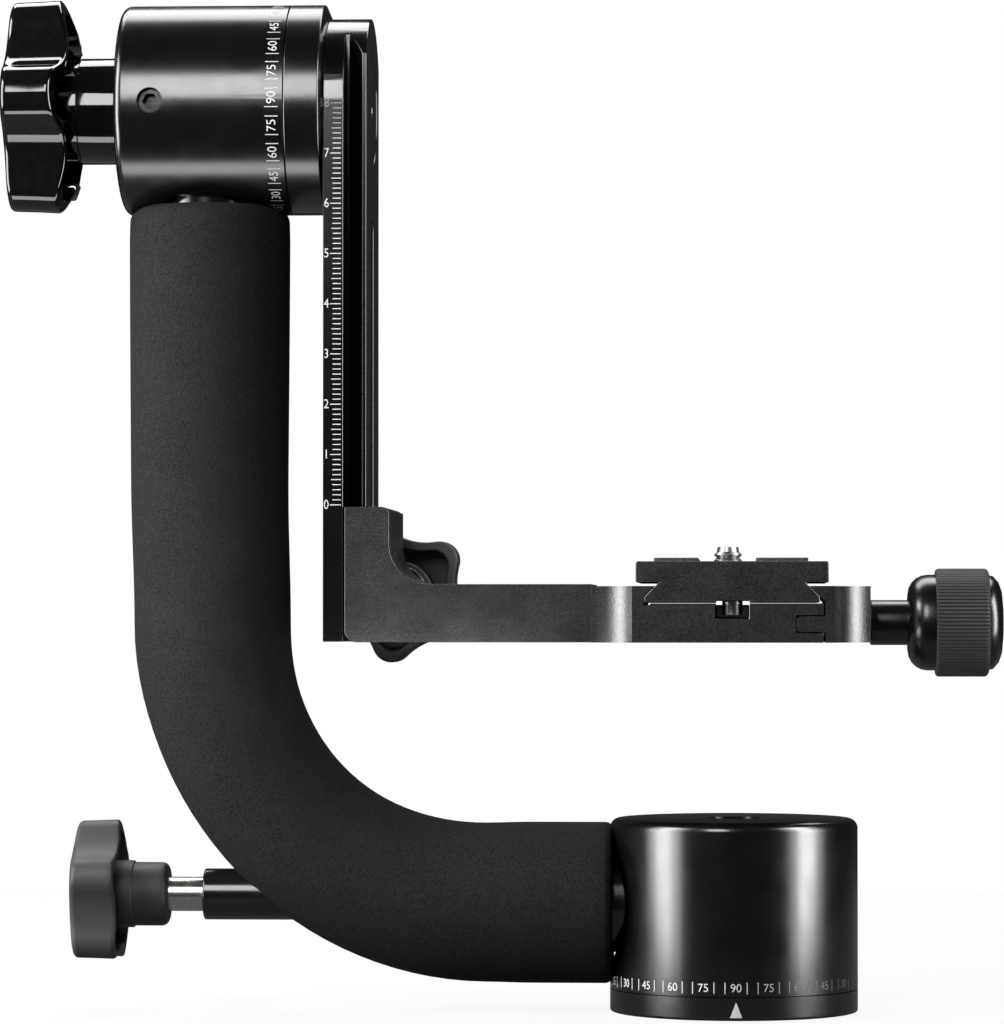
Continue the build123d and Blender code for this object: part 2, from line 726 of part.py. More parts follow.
with BuildPart() as swing_arm:
    with BuildSketch(x_plane(swing_left, tilt_z)):
        Circle(swing_head_radius)
        with Locations((0, -swing_height / 2)):
            Rectangle(2 * swing_head_radius, swing_height)
    extrude(amount=swing_thickness)
    with BuildSketch(Plane.XY.offset(swing_bottom)):
        with BuildLine():
            Polyline(
                (rail_start, -swing_head_radius - 1),
                (rail_start, -rail_root_half),
                (rail_start + rail_root, -rail_root_half),
                (swing_right - rail_lip, -rail_lip_half),
                (swing_right, -rail_lip_half),
                (swing_right + 1, -rail_lip_half),
                (swing_right + 1, -swing_head_radius - 1),
                close=True,
            )
        make_face()
        mirror(about=Plane.XZ)
    extrude(amount=swing_height + swing_head_radius, mode=Mode.SUBTRACT)
    with BuildSketch(x_plane(cap_floor, tilt_z)):
        Circle(cap_radius)
    extrude(amount=cap_recess, mode=Mode.SUBTRACT)
    with BuildSketch(x_plane(swing_left, tilt_z)):
        Circle(pilot_radius + SEAT)
        with PolarLocations(rotor_screw_circle_radius, 4, start_angle=45):
            Circle(rotor_screw_radius + 0.2)
    extrude(amount=swing_thickness, mode=Mode.SUBTRACT)
    with BuildSketch(x_plane(swing_right - slot_depth, (slot_top + slot_bottom) / 2)):
        SlotOverall(slot_top - slot_bottom, 2 * slot_half, rotation=90)
    extrude(amount=slot_depth, mode=Mode.SUBTRACT)
keep(swing_arm.part, "swing_arm")

rotor_screw_seats = []
for spot in rotor_screw_spots:
    seat_y = (rotor_screw_circle_radius) * cos(radians(spot))
    seat_z = tilt_z + (rotor_screw_circle_radius) * sin(radians(spot))
    rotor_screw_seats.append(
        Plane(origin=(cap_floor, seat_y, seat_z), x_dir=(0, 1, 0), z_dir=(1, 0, 0))
    )
socket_screws("swing_arm_screws", rotor_screw_seats, rotor_screw_radius, rotor_screw_length,
              rotor_screw_head, rotor_screw_head_height)
ring("swing_cap", x_plane(swing_right - cap_thickness - 0.1, tilt_z), cap_radius - SEAT, 1.5, cap_thickness)

# ================================================================ tilt lock
stud_tip = tilt_left + 1.0
pad_tip = spindle_left - 0.1

with BuildPart() as tilt_pad:
    with BuildSketch(x_plane(stud_tip + SEAT, tilt_z)):
        Circle(top_stud_radius)
    extrude(amount=pad_tip - stud_tip - SEAT)
keep(tilt_pad.part, "tilt_brake_pad")

top_face = Plane(origin=(top_knob_outer, 0, tilt_z), x_dir=(0, -1, 0), z_dir=(-1, 0, 0))
top_steps = [
    (top_neck_radius, top_neck_end - top_knob_outer),
    (top_hub_radius, tilt_left - 0.5 - top_knob_outer),
]
star_knob("tilt_lock_knob", top_face, top_knob_radius, top_knob_inner - top_knob_outer, top_knob_wall,
          top_knob_valley, top_knob_turn, top_knob_edge, top_knob_trim, top_steps,
          top_stud_radius + SEAT)

with BuildPart() as tilt_stud:
    with BuildSketch(x_plane(top_knob_inner, tilt_z)):
        Circle(top_stud_radius)
    extrude(amount=stud_tip - top_knob_inner)
keep(tilt_stud.part, "tilt_lock_stud")

# ================================================================ platform bracket and rear jaw
rail_clear = SLIDE_GAP
web_left = swing_right + rail_clear + 0.05
dowel_z = (bracket_bottom + bracket_arm_top) / 2

with BuildPart() as bracket:
    with BuildSketch(Plane(origin=(0, bracket_half, 0), x_dir=(1, 0, 0), z_dir=(0, -1, 0))):
        with BuildLine():
            Polyline(
                (bracket_left, bracket_bottom),
                (bracket_left, bracket_top),
                (bracket_right, bracket_top),
                (bracket_right, bracket_arm_top),
                (bracket_arm_end, bracket_arm_top),
                (bracket_arm_end, bracket_bottom),
                close=True,
            )
        make_face()
    extrude(amount=2 * bracket_half)
    fillet(
        edges().filter_by(Axis.Y).filter_by_position(Axis.X, bracket_right - 0.1, bracket_right + 0.1)
        .sort_by(Axis.Z)[0],
        bracket_fillet,
    )
    fillet(
        edges().filter_by(Axis.Y).filter_by_position(Axis.X, bracket_right - 0.1, bracket_right + 0.1)
        .sort_by(Axis.Z)[-1],
        1.7,
    )
    fillet(edges().filter_by(Axis.Y).group_by(Axis.Z)[0].sort_by(Axis.X)[0], 2.6)
    with BuildSketch(Plane.XY.offset(bracket_bottom - 1)):
        with BuildLine():
            Polyline(
                (bracket_left - 1, 0),
                (bracket_left - 1, -rail_root_half - rail_clear),
                (rail_start + rail_root + rail_clear * 0.3, -rail_root_half - rail_clear),
                (swing_right - rail_lip - rail_clear * 0.3, -rail_lip_half - rail_clear),
                (web_left, -rail_lip_half - rail_clear),
                (web_left, 0),
                close=True,
            )
        make_face()
        with Locations(((bracket_left - 1 + web_left) / 2, bracket_half / 2)):
            Rectangle(web_left - bracket_left + 1, bracket_half + 2)
    extrude(amount=bracket_top - bracket_bottom + 2, mode=Mode.SUBTRACT)
    with BuildSketch(Plane(origin=(grip_x, bracket_half, grip_z), x_dir=(1, 0, 0), z_dir=(0, 1, 0))):
        Circle(grip_screw_radius + RUN)
    extrude(amount=-26.0, mode=Mode.SUBTRACT)
    with BuildSketch(x_plane(bracket_arm_end, dowel_z)):
        with Locations((-dowel_y, 0), (dowel_y, 0)):
            Circle(dowel_radius + SEAT)
    extrude(amount=-dowel_length / 2 - 0.1, mode=Mode.SUBTRACT)
keep(bracket.part, "platform_bracket")

jaw_low = bracket_bottom + 0.5
jaw_high = bracket_top - 0.5
jaw_back = bracket_half + SLIDE_GAP * 2

with BuildPart() as rear_jaw:
    with BuildSketch(Plane.XY.offset(jaw_low)):
        with BuildLine():
            Polyline(
                (bracket_left, rail_root_half + rail_clear),
                (bracket_left, jaw_back + rear_plate),
                (bracket_right - 0.3, jaw_back + rear_plate),
                (bracket_right - 0.3, jaw_back),
                (web_left - jaw_gap, jaw_back),
                (web_left - jaw_gap, rail_lip_half + rail_clear),
                (swing_right - rail_lip - rail_clear * 0.3, rail_lip_half + rail_clear),
                (rail_start + rail_root + rail_clear * 0.3, rail_root_half + rail_clear),
                close=True,
            )
        make_face()
    extrude(amount=jaw_high - jaw_low)
    with BuildSketch(Plane(origin=(grip_x, jaw_back, grip_z), x_dir=(1, 0, 0), z_dir=(0, 1, 0))):
        Circle(rear_boss_radius)
    extrude(amount=rear_plate)
    with BuildSketch(Plane(origin=(grip_x, jaw_back, grip_z), x_dir=(1, 0, 0), z_dir=(0, 1, 0))):
        Circle(grip_screw_radius + RUN)
    extrude(amount=rear_plate, mode=Mode.SUBTRACT)
keep(rear_jaw.part, "rail_jaw")

rear_hub_start = jaw_back + rear_plate + FACE_GAP
rear_face_y = rear_hub_start + rear_knob_stand_off + rear_knob_depth
rear_face = Plane(origin=(grip_x, rear_face_y, grip_z), x_dir=(1, 0, 0), z_dir=(0, 1, 0))
rear_steps = [(rear_knob_hub, rear_knob_depth + rear_knob_stand_off)]
star_knob("rail_lock_knob", rear_face, rear_knob_radius, rear_knob_depth, rear_knob_wall,
          rear_knob_valley, rear_knob_turn, rear_knob_edge, rear_knob_trim, rear_steps,
          grip_screw_radius + SEAT)

with BuildPart() as grip_screw:
    with BuildSketch(Plane(origin=(grip_x, rear_face_y - 5.6, grip_z), x_dir=(1, 0, 0), z_dir=(0, 1, 0))):
        Circle(grip_screw_radius)
    extrude(amount=-(rear_face_y - 5.6) - 3.0)
    chamfer(edges().filter_by(GeomType.CIRCLE).sort_by(Axis.Y)[0], 0.5)
keep(grip_screw.part, "rail_lock_screw")

# ================================================================ quick-release clamp
body_left = bracket_arm_end + 0.02
fixed_lip = clamp_x - neck_half - (wing_bottom - clamp_top) - SLIDE_GAP * sqrt(2)
pocket_x = clamp_x - dovetail_half - SLIDE_GAP * 2

with BuildPart() as clamp_body:
    with BuildSketch(Plane(origin=(0, clamp_half, 0), x_dir=(1, 0, 0), z_dir=(0, -1, 0))):
        with BuildLine():
            Polyline(
                (body_left, clamp_bottom),
                (body_left, clamp_top),
                (fixed_lip, clamp_top),
                (pocket_x, clamp_top - (fixed_lip - pocket_x)),
                (pocket_x, clamp_floor - 0.4),
                (pocket_x + 1.2, clamp_floor - 0.4),
                (pocket_x + 1.6, clamp_floor),
                (body_right, clamp_floor),
                (body_right, clamp_bottom),
                close=True,
            )
        make_face()
        with Locations((body_right - tongue_reach / 2, tongue_z)):
            Rectangle(tongue_reach + 0.9, tongue_height + 0.5, mode=Mode.SUBTRACT)
        with Locations((clamp_x, clamp_floor - groove_depth / 2)):
            Rectangle(2 * groove_half, groove_depth, mode=Mode.SUBTRACT)
    extrude(amount=2 * clamp_half)
    with BuildSketch(Plane.XY.offset(clamp_bottom)):
        for side in (-1, 1):
            with BuildLine():
                Line((body_left, side * bracket_half), (body_left, side * (clamp_half + 1)))
                Line((body_left, side * (clamp_half + 1)), (clamp_shoulder, side * (clamp_half + 1)))
                Line((clamp_shoulder, side * (clamp_half + 1)), (clamp_shoulder, side * clamp_half))
                RadiusArc((clamp_shoulder, side * clamp_half), (body_left, side * bracket_half),
                          side * flare_radius)
            make_face()
    extrude(amount=clamp_top - clamp_bottom, mode=Mode.SUBTRACT)
    with BuildSketch(x_plane(clamp_rod_start - 0.5, screw_z)):
        Circle(clamp_rod_radius + RUN)
    extrude(amount=body_right - clamp_rod_start + 0.5, mode=Mode.SUBTRACT)
    with BuildSketch(x_plane(body_left, dowel_z)):
        with Locations((-dowel_y, 0), (dowel_y, 0)):
            Circle(dowel_radius + SEAT)
    extrude(amount=dowel_length / 2 + 0.1, mode=Mode.SUBTRACT)
keep(clamp_body.part, "clamp_body")

with BuildPart() as dowels:
    with BuildSketch(x_plane(bracket_arm_end - dowel_length / 2, dowel_z)):
        with Locations((-dowel_y, 0), (dowel_y, 0)):
            Circle(dowel_radius)
    extrude(amount=dowel_length)
keep(dowels.part, "clamp_dowels")

jaw_left = body_right + 0.5
jaw_lip = clamp_x + neck_half + (wing_bottom - clamp_top) + SLIDE_GAP * sqrt(2)
jaw_pocket = clamp_x + dovetail_half + SLIDE_GAP * 2

with BuildPart() as clamp_jaw:
    with BuildSketch(Plane(origin=(0, clamp_half, 0), x_dir=(1, 0, 0), z_dir=(0, -1, 0))):
        with BuildLine():
            Polyline(
                (jaw_left, clamp_bottom),
                (jaw_left, clamp_top - (jaw_left - jaw_lip)),
                (jaw_lip, clamp_top),
                (jaw_right, clamp_top),
                (jaw_right, clamp_bottom),
                close=True,
            )
        make_face()
        with Locations((jaw_left - tongue_reach / 2, tongue_z)):
            RectangleRounded(tongue_reach + 1.5, tongue_height, 0.7)
    extrude(amount=2 * clamp_half)
    with BuildSketch(Plane.XY.offset(clamp_bottom)):
        for side in (-1, 1):
            with BuildLine():
                Line((jaw_right, side * jaw_tail_half), (jaw_right, side * (clamp_half + 1)))
                Line((jaw_right, side * (clamp_half + 1)), (jaw_face, side * (clamp_half + 1)))
                Line((jaw_face, side * (clamp_half + 1)), (jaw_face, side * clamp_half))
                RadiusArc((jaw_face, side * clamp_half), (jaw_right, side * jaw_tail_half),
                          -side * flare_radius)
            make_face()
    extrude(amount=clamp_top - clamp_bottom, mode=Mode.SUBTRACT)
    with BuildSketch(x_plane(body_right - tongue_reach - 2, screw_z)):
        Circle(clamp_rod_radius + RUN)
    extrude(amount=jaw_right - body_right + tongue_reach + 2, mode=Mode.SUBTRACT)
keep(clamp_jaw.part, "clamp_jaw")

with BuildPart() as stop_key:
    with BuildSketch(Plane(origin=(clamp_x, 0, clamp_floor - groove_depth))):
        Rectangle(2 * (groove_half - SEAT), 2 * stop_key_half)
    extrude(amount=stop_key_height)
keep(stop_key.part, "clamp_stop_key")

# ================================================================ clamp knob
with BuildPart() as knob_rod:
    with BuildSketch(x_plane(clamp_rod_start, screw_z)):
        Circle(clamp_rod_radius)
    extrude(amount=dome_left + 6.0 - clamp_rod_start)
keep(knob_rod.part, "clamp_screw")

with BuildPart() as knob_body:
    with BuildSketch(Plane.XZ):
        with BuildLine():
            Line((jaw_right + FACE_GAP, screw_z), (jaw_right + FACE_GAP, screw_z + collar_radius))
            Line((jaw_right + FACE_GAP, screw_z + collar_radius), (dome_left, screw_z + collar_radius))
            Spline(
                (dome_left, screw_z + collar_radius),
                (dome_left + 0.9, screw_z + 7.9),
                (grip_ring_left - 2.6, screw_z + dome_radius),
                tangents=((0.15, 1), (1, 0)),
            )
            Line((grip_ring_left - 2.6, screw_z + dome_radius), (grip_ring_left, screw_z + dome_radius))
            Line((grip_ring_left, screw_z + dome_radius),
                 (grip_ring_left, screw_z + grip_ring_radius - grip_ring_depth))
            Line((grip_ring_left, screw_z + grip_ring_radius - grip_ring_depth),
                 (grip_ring_right, screw_z + grip_ring_radius - grip_ring_depth))
            Line((grip_ring_right, screw_z + grip_ring_radius - grip_ring_depth),
                 (grip_ring_right, screw_z + dome_radius - 0.2))
            Spline(
                (grip_ring_right, screw_z + dome_radius - 0.2),
                (knob_end - 0.7, screw_z + 8.3),
                (knob_end, screw_z),
                tangents=((1, -0.2), (0, -1)),
            )
            Line((knob_end, screw_z), (jaw_right + FACE_GAP, screw_z))
        make_face()
    revolve(axis=Axis((0, 0, screw_z), (1, 0, 0)))
    with BuildSketch(x_plane(jaw_right + FACE_GAP, screw_z)):
        Circle(clamp_rod_radius + SEAT)
    extrude(amount=dome_left + 6.1 - jaw_right, mode=Mode.SUBTRACT)
keep(knob_body.part, "clamp_knob")

ring("clamp_knob_grip", x_plane(grip_ring_left + SEAT, screw_z), grip_ring_radius,
     grip_ring_radius - grip_ring_depth + SEAT, grip_ring_right - grip_ring_left - 2 * SEAT)

# ================================================================ quick-release plate
plate_start = Plane(origin=(clamp_x, plate_length / 2, 0), x_dir=(1, 0, 0), z_dir=(0, -1, 0))
stop_y = plate_length / 2 - stop_inset

with BuildPart() as plate:
    with BuildSketch(plate_start):
        with BuildLine():
            Polyline(
                (0, plate_bottom),
                (dovetail_half, plate_bottom),
                (dovetail_half, wing_bottom - (dovetail_half - neck_half)),
                (neck_half, wing_bottom),
                (plate_half, wing_bottom),
                (plate_half, plate_top),
                (0, plate_top),
                close=True,
            )
        make_face()
        mirror(about=Plane.YZ)
    extrude(amount=plate_length)
    fillet(edges().filter_by(Axis.Y).group_by(Axis.Z)[-1], 0.6)
    with BuildSketch(Plane(origin=(clamp_x, 0, plate_bottom))):
        Rectangle(2 * groove_half, plate_length)
    extrude(amount=0.45, mode=Mode.SUBTRACT)
    with BuildSketch(Plane(origin=(camera_x, 0, plate_bottom))):
        Circle(screw_head_radius + CLEAR)
    extrude(amount=screw_head_height + 0.8, mode=Mode.SUBTRACT)
    with BuildSketch(Plane(origin=(camera_x, 0, plate_bottom))):
        SlotOverall(camera_slot_length, 2 * (camera_thread_radius + CLEAR), rotation=90)
    extrude(amount=plate_top - plate_bottom, mode=Mode.SUBTRACT)
    with BuildSketch(Plane(origin=(clamp_x, 0, plate_bottom))):
        with Locations((0, -stop_y), (0, stop_y)):
            Circle(stop_screw_radius + SEAT)
    extrude(amount=stop_screw_length + 0.5, mode=Mode.SUBTRACT)
keep(plate.part, "release_plate")

pad_spans = [(-17.1, -7.4), (5.2, 16.6)]
with BuildPart() as pads:
    with BuildSketch(Plane(origin=(clamp_x, 0, plate_top))):
        for left, right in pad_spans:
            with Locations(((left + right) / 2, 0)):
                RectangleRounded(right - left, plate_length - 2 * pad_end_gap, pad_rounding)
    extrude(amount=pad_proud)
keep(pads.part, "plate_rubber_pads")

head_top = plate_bottom + 0.5 + screw_head_height
with BuildPart() as camera_screw:
    with BuildSketch(Plane(origin=(camera_x, 0, head_top - screw_head_height))):
        Circle(screw_head_radius)
    extrude(amount=screw_head_height)
    with BuildSketch(Plane(origin=(camera_x, 0, head_top))):
        Circle(camera_thread_radius - 0.6)
    extrude(amount=plate_top + 0.2 - head_top)
    with BuildSketch(Plane(origin=(camera_x, 0, plate_top + 0.2))):
        Circle(camera_thread_radius)
    extrude(amount=camera_thread_top - plate_top - 0.2)
    with BuildSketch(Plane(origin=(camera_x, 0, head_top - screw_head_height))):
        Rectangle(2 * screw_head_radius, 1.4)
    extrude(amount=1.2, mode=Mode.SUBTRACT)
keep(camera_screw.part, "camera_screw")

stop_seats = []
for side in (-stop_y, stop_y):
    stop_seats.append(Plane(origin=(clamp_x, side, plate_bottom + 0.45), x_dir=(1, 0, 0), z_dir=(0, 0, -1)))
socket_screws("plate_stop_screws", stop_seats, stop_screw_radius, stop_screw_length, stop_screw_head,
              stop_screw_head_height)

print(len(kept), "pieces written")
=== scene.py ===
"""Looks of a gimbal tripod head: finishes, scales, edges, knobs and foam over its plain model.

Lengths are millimetres until a mesh is written, where they become metres.
"""

import bmesh
import bpy
import json
from math import atan2, cos, pi, radians, sin, sqrt, tan
from mathutils import Matrix, Vector


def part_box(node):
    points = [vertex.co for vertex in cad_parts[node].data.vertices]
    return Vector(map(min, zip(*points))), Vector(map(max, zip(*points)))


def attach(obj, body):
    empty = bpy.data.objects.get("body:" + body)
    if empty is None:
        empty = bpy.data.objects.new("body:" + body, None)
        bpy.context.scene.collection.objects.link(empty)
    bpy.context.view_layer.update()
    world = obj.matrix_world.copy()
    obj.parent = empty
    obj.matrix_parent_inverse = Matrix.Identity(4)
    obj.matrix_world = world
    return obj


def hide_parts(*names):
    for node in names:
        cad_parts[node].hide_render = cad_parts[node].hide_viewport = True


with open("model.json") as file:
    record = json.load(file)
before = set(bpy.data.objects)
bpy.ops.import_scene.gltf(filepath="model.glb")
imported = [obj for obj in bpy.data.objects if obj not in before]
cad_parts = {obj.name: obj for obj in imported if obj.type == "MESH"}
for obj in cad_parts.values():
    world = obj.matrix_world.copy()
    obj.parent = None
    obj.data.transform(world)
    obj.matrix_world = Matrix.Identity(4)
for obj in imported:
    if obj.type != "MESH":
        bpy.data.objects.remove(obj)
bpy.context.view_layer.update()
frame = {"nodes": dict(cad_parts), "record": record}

MM = 0.001
X = Vector((1, 0, 0))
Y = Vector((0, 1, 0))
Z = Vector((0, 0, 1))


def box_mm(node):
    """Lowest and highest corner of a CAD node in millimetres."""
    low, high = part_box(node)
    return low / MM, high / MM


def middle_mm(node):
    """Middle of a CAD node's box in millimetres."""
    low, high = box_mm(node)
    return (low + high) / 2


def ease(share):
    """A smooth 0 to 1."""
    share = min(max(share, 0), 1)
    return share * share * (3 - 2 * share)


# ---------------------------------------------------------------- camera, lights, room
# places in metres, angles in degrees, lens and sensor in millimetres
CAMERA_AT = (0.00369, -1.03016, 0.08792)
CAMERA_AZIMUTH = 3.0727
CAMERA_ELEVATION = 1.2753
CAMERA_LENS = 162.4
SENSOR_WIDTH = 36
HEAD_MIDDLE = (-0.05, 0, 0.11)
TILT_AXIS = (-0.125, 0, 0.196)
TABLE_LOW = (-0.45, -0.10)
TABLE_HIGH = (0.35, 0.45)
# the table's own grey, how much of it is plain white instead, and the light it throws back
TABLE_GREY = (0.86, 0.86, 0.86, 1)
TABLE_GLOW = 0.9
TABLE_BOUNCE = (0.04, 0.04, 0.04, 1)
# how bright the room is to the head, and how much of the table shows in reflections
ROOM_LEVEL = 0.03
MIRRORED_TABLE = 0.12

SOFTBOXES = [
    # name, target, azimuth, elevation, distance, half width, half height, glow, whether it fills
    ("left_wide", HEAD_MIDDLE, -66, 8, 0.8, 19, 34, 4.8, True),
    ("left_narrow", HEAD_MIDDLE, -66, 8, 0.78, 9, 34, 7.2, True),
    ("right_wide", HEAD_MIDDLE, 72, 8, 0.8, 18, 34, 3.0, False),
    ("right_narrow", HEAD_MIDDLE, 72, 8, 0.78, 9, 34, 9.6, False),
    ("front_high", HEAD_MIDDLE, -13, 25.8, 0.9, 8, 11.8, 9.0, True),
    ("back_high", HEAD_MIDDLE, 180, 58, 0.9, 30, 13, 5.5, True),
    ("low_strip", TILT_AXIS, 0, -66, 0.14, 30, 7, 4.0, False),
]


def add_camera():
    """The camera that looks level at the head, a little from its right."""
    data = bpy.data.cameras.new("camera")
    data.lens = CAMERA_LENS
    data.sensor_width = SENSOR_WIDTH
    camera = bpy.data.objects.new("camera", data)
    bpy.context.scene.collection.objects.link(camera)
    turn = radians(CAMERA_AZIMUTH)
    rise = radians(CAMERA_ELEVATION)
    ahead = Vector((-sin(turn) * cos(rise), cos(turn) * cos(rise), sin(rise)))
    camera.rotation_euler = ahead.to_track_quat("-Z", "Y").to_euler()
    camera.location = CAMERA_AT
    bpy.context.scene.camera = camera


def add_softbox(name, target, azimuth, elevation, distance, wide, tall, glow, fills):
    """A rectangular lamp aimed at a place. Azimuth is from the viewer, + to the right.

    Wide and tall are its half angles as seen from that place, and glow is its radiance. A lamp that
    doesn't fill is only seen in reflections.
    """
    turn = radians(azimuth)
    rise = radians(elevation)
    data = bpy.data.lights.new(name, "AREA")
    data.shape = "RECTANGLE"
    data.size = 2 * distance * tan(radians(wide))
    data.size_y = 2 * distance * tan(radians(tall))
    data.energy = pi * data.size * data.size_y * glow
    lamp = bpy.data.objects.new(name, data)
    bpy.context.scene.collection.objects.link(lamp)
    lamp.visible_camera = False
    lamp.visible_diffuse = fills
    away = Vector((sin(turn) * cos(rise), -cos(turn) * cos(rise), sin(rise)))
    lamp.location = Vector(target) + away * distance
    lamp.rotation_euler = (-away).to_track_quat("-Z", "Y").to_euler()


def mix_by(tree, share, first, second):
    """Blend two shaders."""
    mix = tree.nodes.new("ShaderNodeMixShader")
    if isinstance(share, float):
        mix.inputs[0].default_value = share
    else:
        tree.links.new(share, mix.inputs[0])
    tree.links.new(first, mix.inputs[1])
    tree.links.new(second, mix.inputs[2])
    return mix.outputs[0]


def seen_share(tree, path):
    """1 for a ray from the camera, and a small share for a ray off or through the object."""
    share = path.outputs["Is Camera Ray"]
    for ray in ("Is Glossy Ray", "Is Transmission Ray"):
        faint = tree.nodes.new("ShaderNodeMath")
        faint.operation = "MULTIPLY"
        faint.inputs[1].default_value = MIRRORED_TABLE
        tree.links.new(path.outputs[ray], faint.inputs[0])
        larger = tree.nodes.new("ShaderNodeMath")
        larger.operation = "MAXIMUM"
        tree.links.new(share, larger.inputs[0])
        tree.links.new(faint.outputs[0], larger.inputs[1])
        share = larger.outputs[0]
    return share


def floor_material():
    """Pale studio paper that shows white, keeps the shadow, and throws little light back."""
    material = bpy.data.materials.new("studio_paper")
    material.use_nodes = True
    tree = material.node_tree
    tree.nodes.clear()
    output = tree.nodes.new("ShaderNodeOutputMaterial")
    paper = tree.nodes.new("ShaderNodeBsdfDiffuse")
    paper.inputs["Color"].default_value = TABLE_GREY
    glow = tree.nodes.new("ShaderNodeEmission")
    glow.inputs["Strength"].default_value = 1.0
    dim = tree.nodes.new("ShaderNodeBsdfDiffuse")
    dim.inputs["Color"].default_value = TABLE_BOUNCE
    path = tree.nodes.new("ShaderNodeLightPath")
    shown = mix_by(tree, TABLE_GLOW, paper.outputs[0], glow.outputs[0])
    whole = mix_by(tree, seen_share(tree, path), dim.outputs[0], shown)
    tree.links.new(whole, output.inputs["Surface"])
    return material


def add_world():
    """A dim room that shows white behind the head."""
    world = bpy.data.worlds.new("studio_world")
    world.use_nodes = True
    tree = world.node_tree
    background = tree.nodes["Background"]
    background.inputs["Color"].default_value = (1, 1, 1, 1)
    path = tree.nodes.new("ShaderNodeLightPath")
    level = tree.nodes.new("ShaderNodeMapRange")
    level.inputs["To Min"].default_value = ROOM_LEVEL
    level.inputs["To Max"].default_value = 1.0
    tree.links.new(path.outputs["Is Camera Ray"], level.inputs["Value"])
    tree.links.new(level.outputs["Result"], background.inputs["Strength"])
    bpy.context.scene.world = world


def add_floor():
    """The table top that the head stands on."""
    bm = bmesh.new()
    made = bmesh.ops.create_grid(bm, x_segments=4, y_segments=4, size=0.5)
    low = Vector(TABLE_LOW)
    high = Vector(TABLE_HIGH)
    span = high - low
    bmesh.ops.scale(bm, vec=(span.x, span.y, 1), verts=made["verts"])
    middle = (low + high) / 2
    bmesh.ops.translate(bm, vec=(middle.x, middle.y, 0), verts=made["verts"])
    mesh = bpy.data.meshes.new("studio_floor")
    bm.to_mesh(mesh)
    bm.free()
    floor = bpy.data.objects.new("studio_floor", mesh)
    bpy.context.scene.collection.objects.link(floor)
    mesh.materials.append(floor_material())


# ---------------------------------------------------------------- finishes
# most of a noise lies between these two
NOISE_LOW = 0.3
NOISE_HIGH = 0.7
COAT_ROUGHNESS = 0.05


def start_material(name):
    """A new node material with its shader and object coordinates."""
    material = bpy.data.materials.new(name)
    material.use_nodes = True
    tree = material.node_tree
    shader = tree.nodes["Principled BSDF"]
    place = tree.nodes.new("ShaderNodeTexCoord")
    return material, tree, shader, place.outputs["Object"]


def add_noise(tree, place, size, detail=2.0, roughness=0.5):
    """Noise whose blobs are about that many millimetres."""
    noise = tree.nodes.new("ShaderNodeTexNoise")
    noise.inputs["Scale"].default_value = 1.0 / (size * MM)
    noise.inputs["Detail"].default_value = detail
    noise.inputs["Roughness"].default_value = roughness
    tree.links.new(place, noise.inputs["Vector"])
    return noise.outputs["Fac"]


def spread(tree, value, low, high):
    """Map the usual range of a noise onto low to high."""
    stretch = tree.nodes.new("ShaderNodeMapRange")
    stretch.inputs["From Min"].default_value = NOISE_LOW
    stretch.inputs["From Max"].default_value = NOISE_HIGH
    stretch.inputs["To Min"].default_value = low
    stretch.inputs["To Max"].default_value = high
    tree.links.new(value, stretch.inputs["Value"])
    return stretch.outputs["Result"]


def tint(tree, value, dark, light):
    """Blend two colours by a noise."""
    ramp = tree.nodes.new("ShaderNodeValToRGB")
    ramp.color_ramp.elements[0].position = NOISE_LOW
    ramp.color_ramp.elements[1].position = NOISE_HIGH
    ramp.color_ramp.elements[0].color = (*dark, 1)
    ramp.color_ramp.elements[1].color = (*light, 1)
    tree.links.new(value, ramp.inputs["Fac"])
    return ramp.outputs["Color"]


def roughen(tree, shader, height, depth):
    """Bump of that depth in millimetres."""
    bump = tree.nodes.new("ShaderNodeBump")
    bump.inputs["Distance"].default_value = depth * MM
    bump.inputs["Strength"].default_value = 1.0
    tree.links.new(height, bump.inputs["Height"])
    tree.links.new(bump.outputs["Normal"], shader.inputs["Normal"])


def grey(level):
    """A neutral colour."""
    return level, level, level


def surface(
    name, dark, light, rough, grain, depth, metallic=0.0, cloud=6.0, coat=0.0, gloss=0.5,
):
    """A finish with fine grain in its colour and bump, and wide clouds in its roughness.

    Grain and cloud are their sizes and depth is the height of the bump, in millimetres.
    """
    material, tree, shader, place = start_material(name)
    clouds = add_noise(tree, place, cloud, detail=4.0)
    grains = add_noise(tree, place, grain)
    tree.links.new(tint(tree, grains, dark, light), shader.inputs["Base Color"])
    tree.links.new(spread(tree, clouds, *rough), shader.inputs["Roughness"])
    shader.inputs["Metallic"].default_value = metallic
    shader.inputs["Specular IOR Level"].default_value = gloss
    if coat:
        shader.inputs["Coat Weight"].default_value = coat
        shader.inputs["Coat Roughness"].default_value = COAT_ROUGHNESS
    roughen(tree, shader, grains, depth)
    return material


def foam_finish():
    """Closed-cell foam: matte charcoal with fine pale and dark cells."""
    material, tree, shader, place = start_material("charcoal_foam")
    cells = add_noise(tree, place, size=0.42, detail=3.0, roughness=0.6)
    clouds = add_noise(tree, place, size=9.0, detail=3.0)
    colour = tint(tree, cells, (0.006, 0.006, 0.0063), (0.028, 0.028, 0.029))
    tree.links.new(colour, shader.inputs["Base Color"])
    tree.links.new(spread(tree, clouds, 0.82, 0.95), shader.inputs["Roughness"])
    shader.inputs["Specular IOR Level"].default_value = 0.15
    roughen(tree, shader, cells, depth=0.09)
    return material


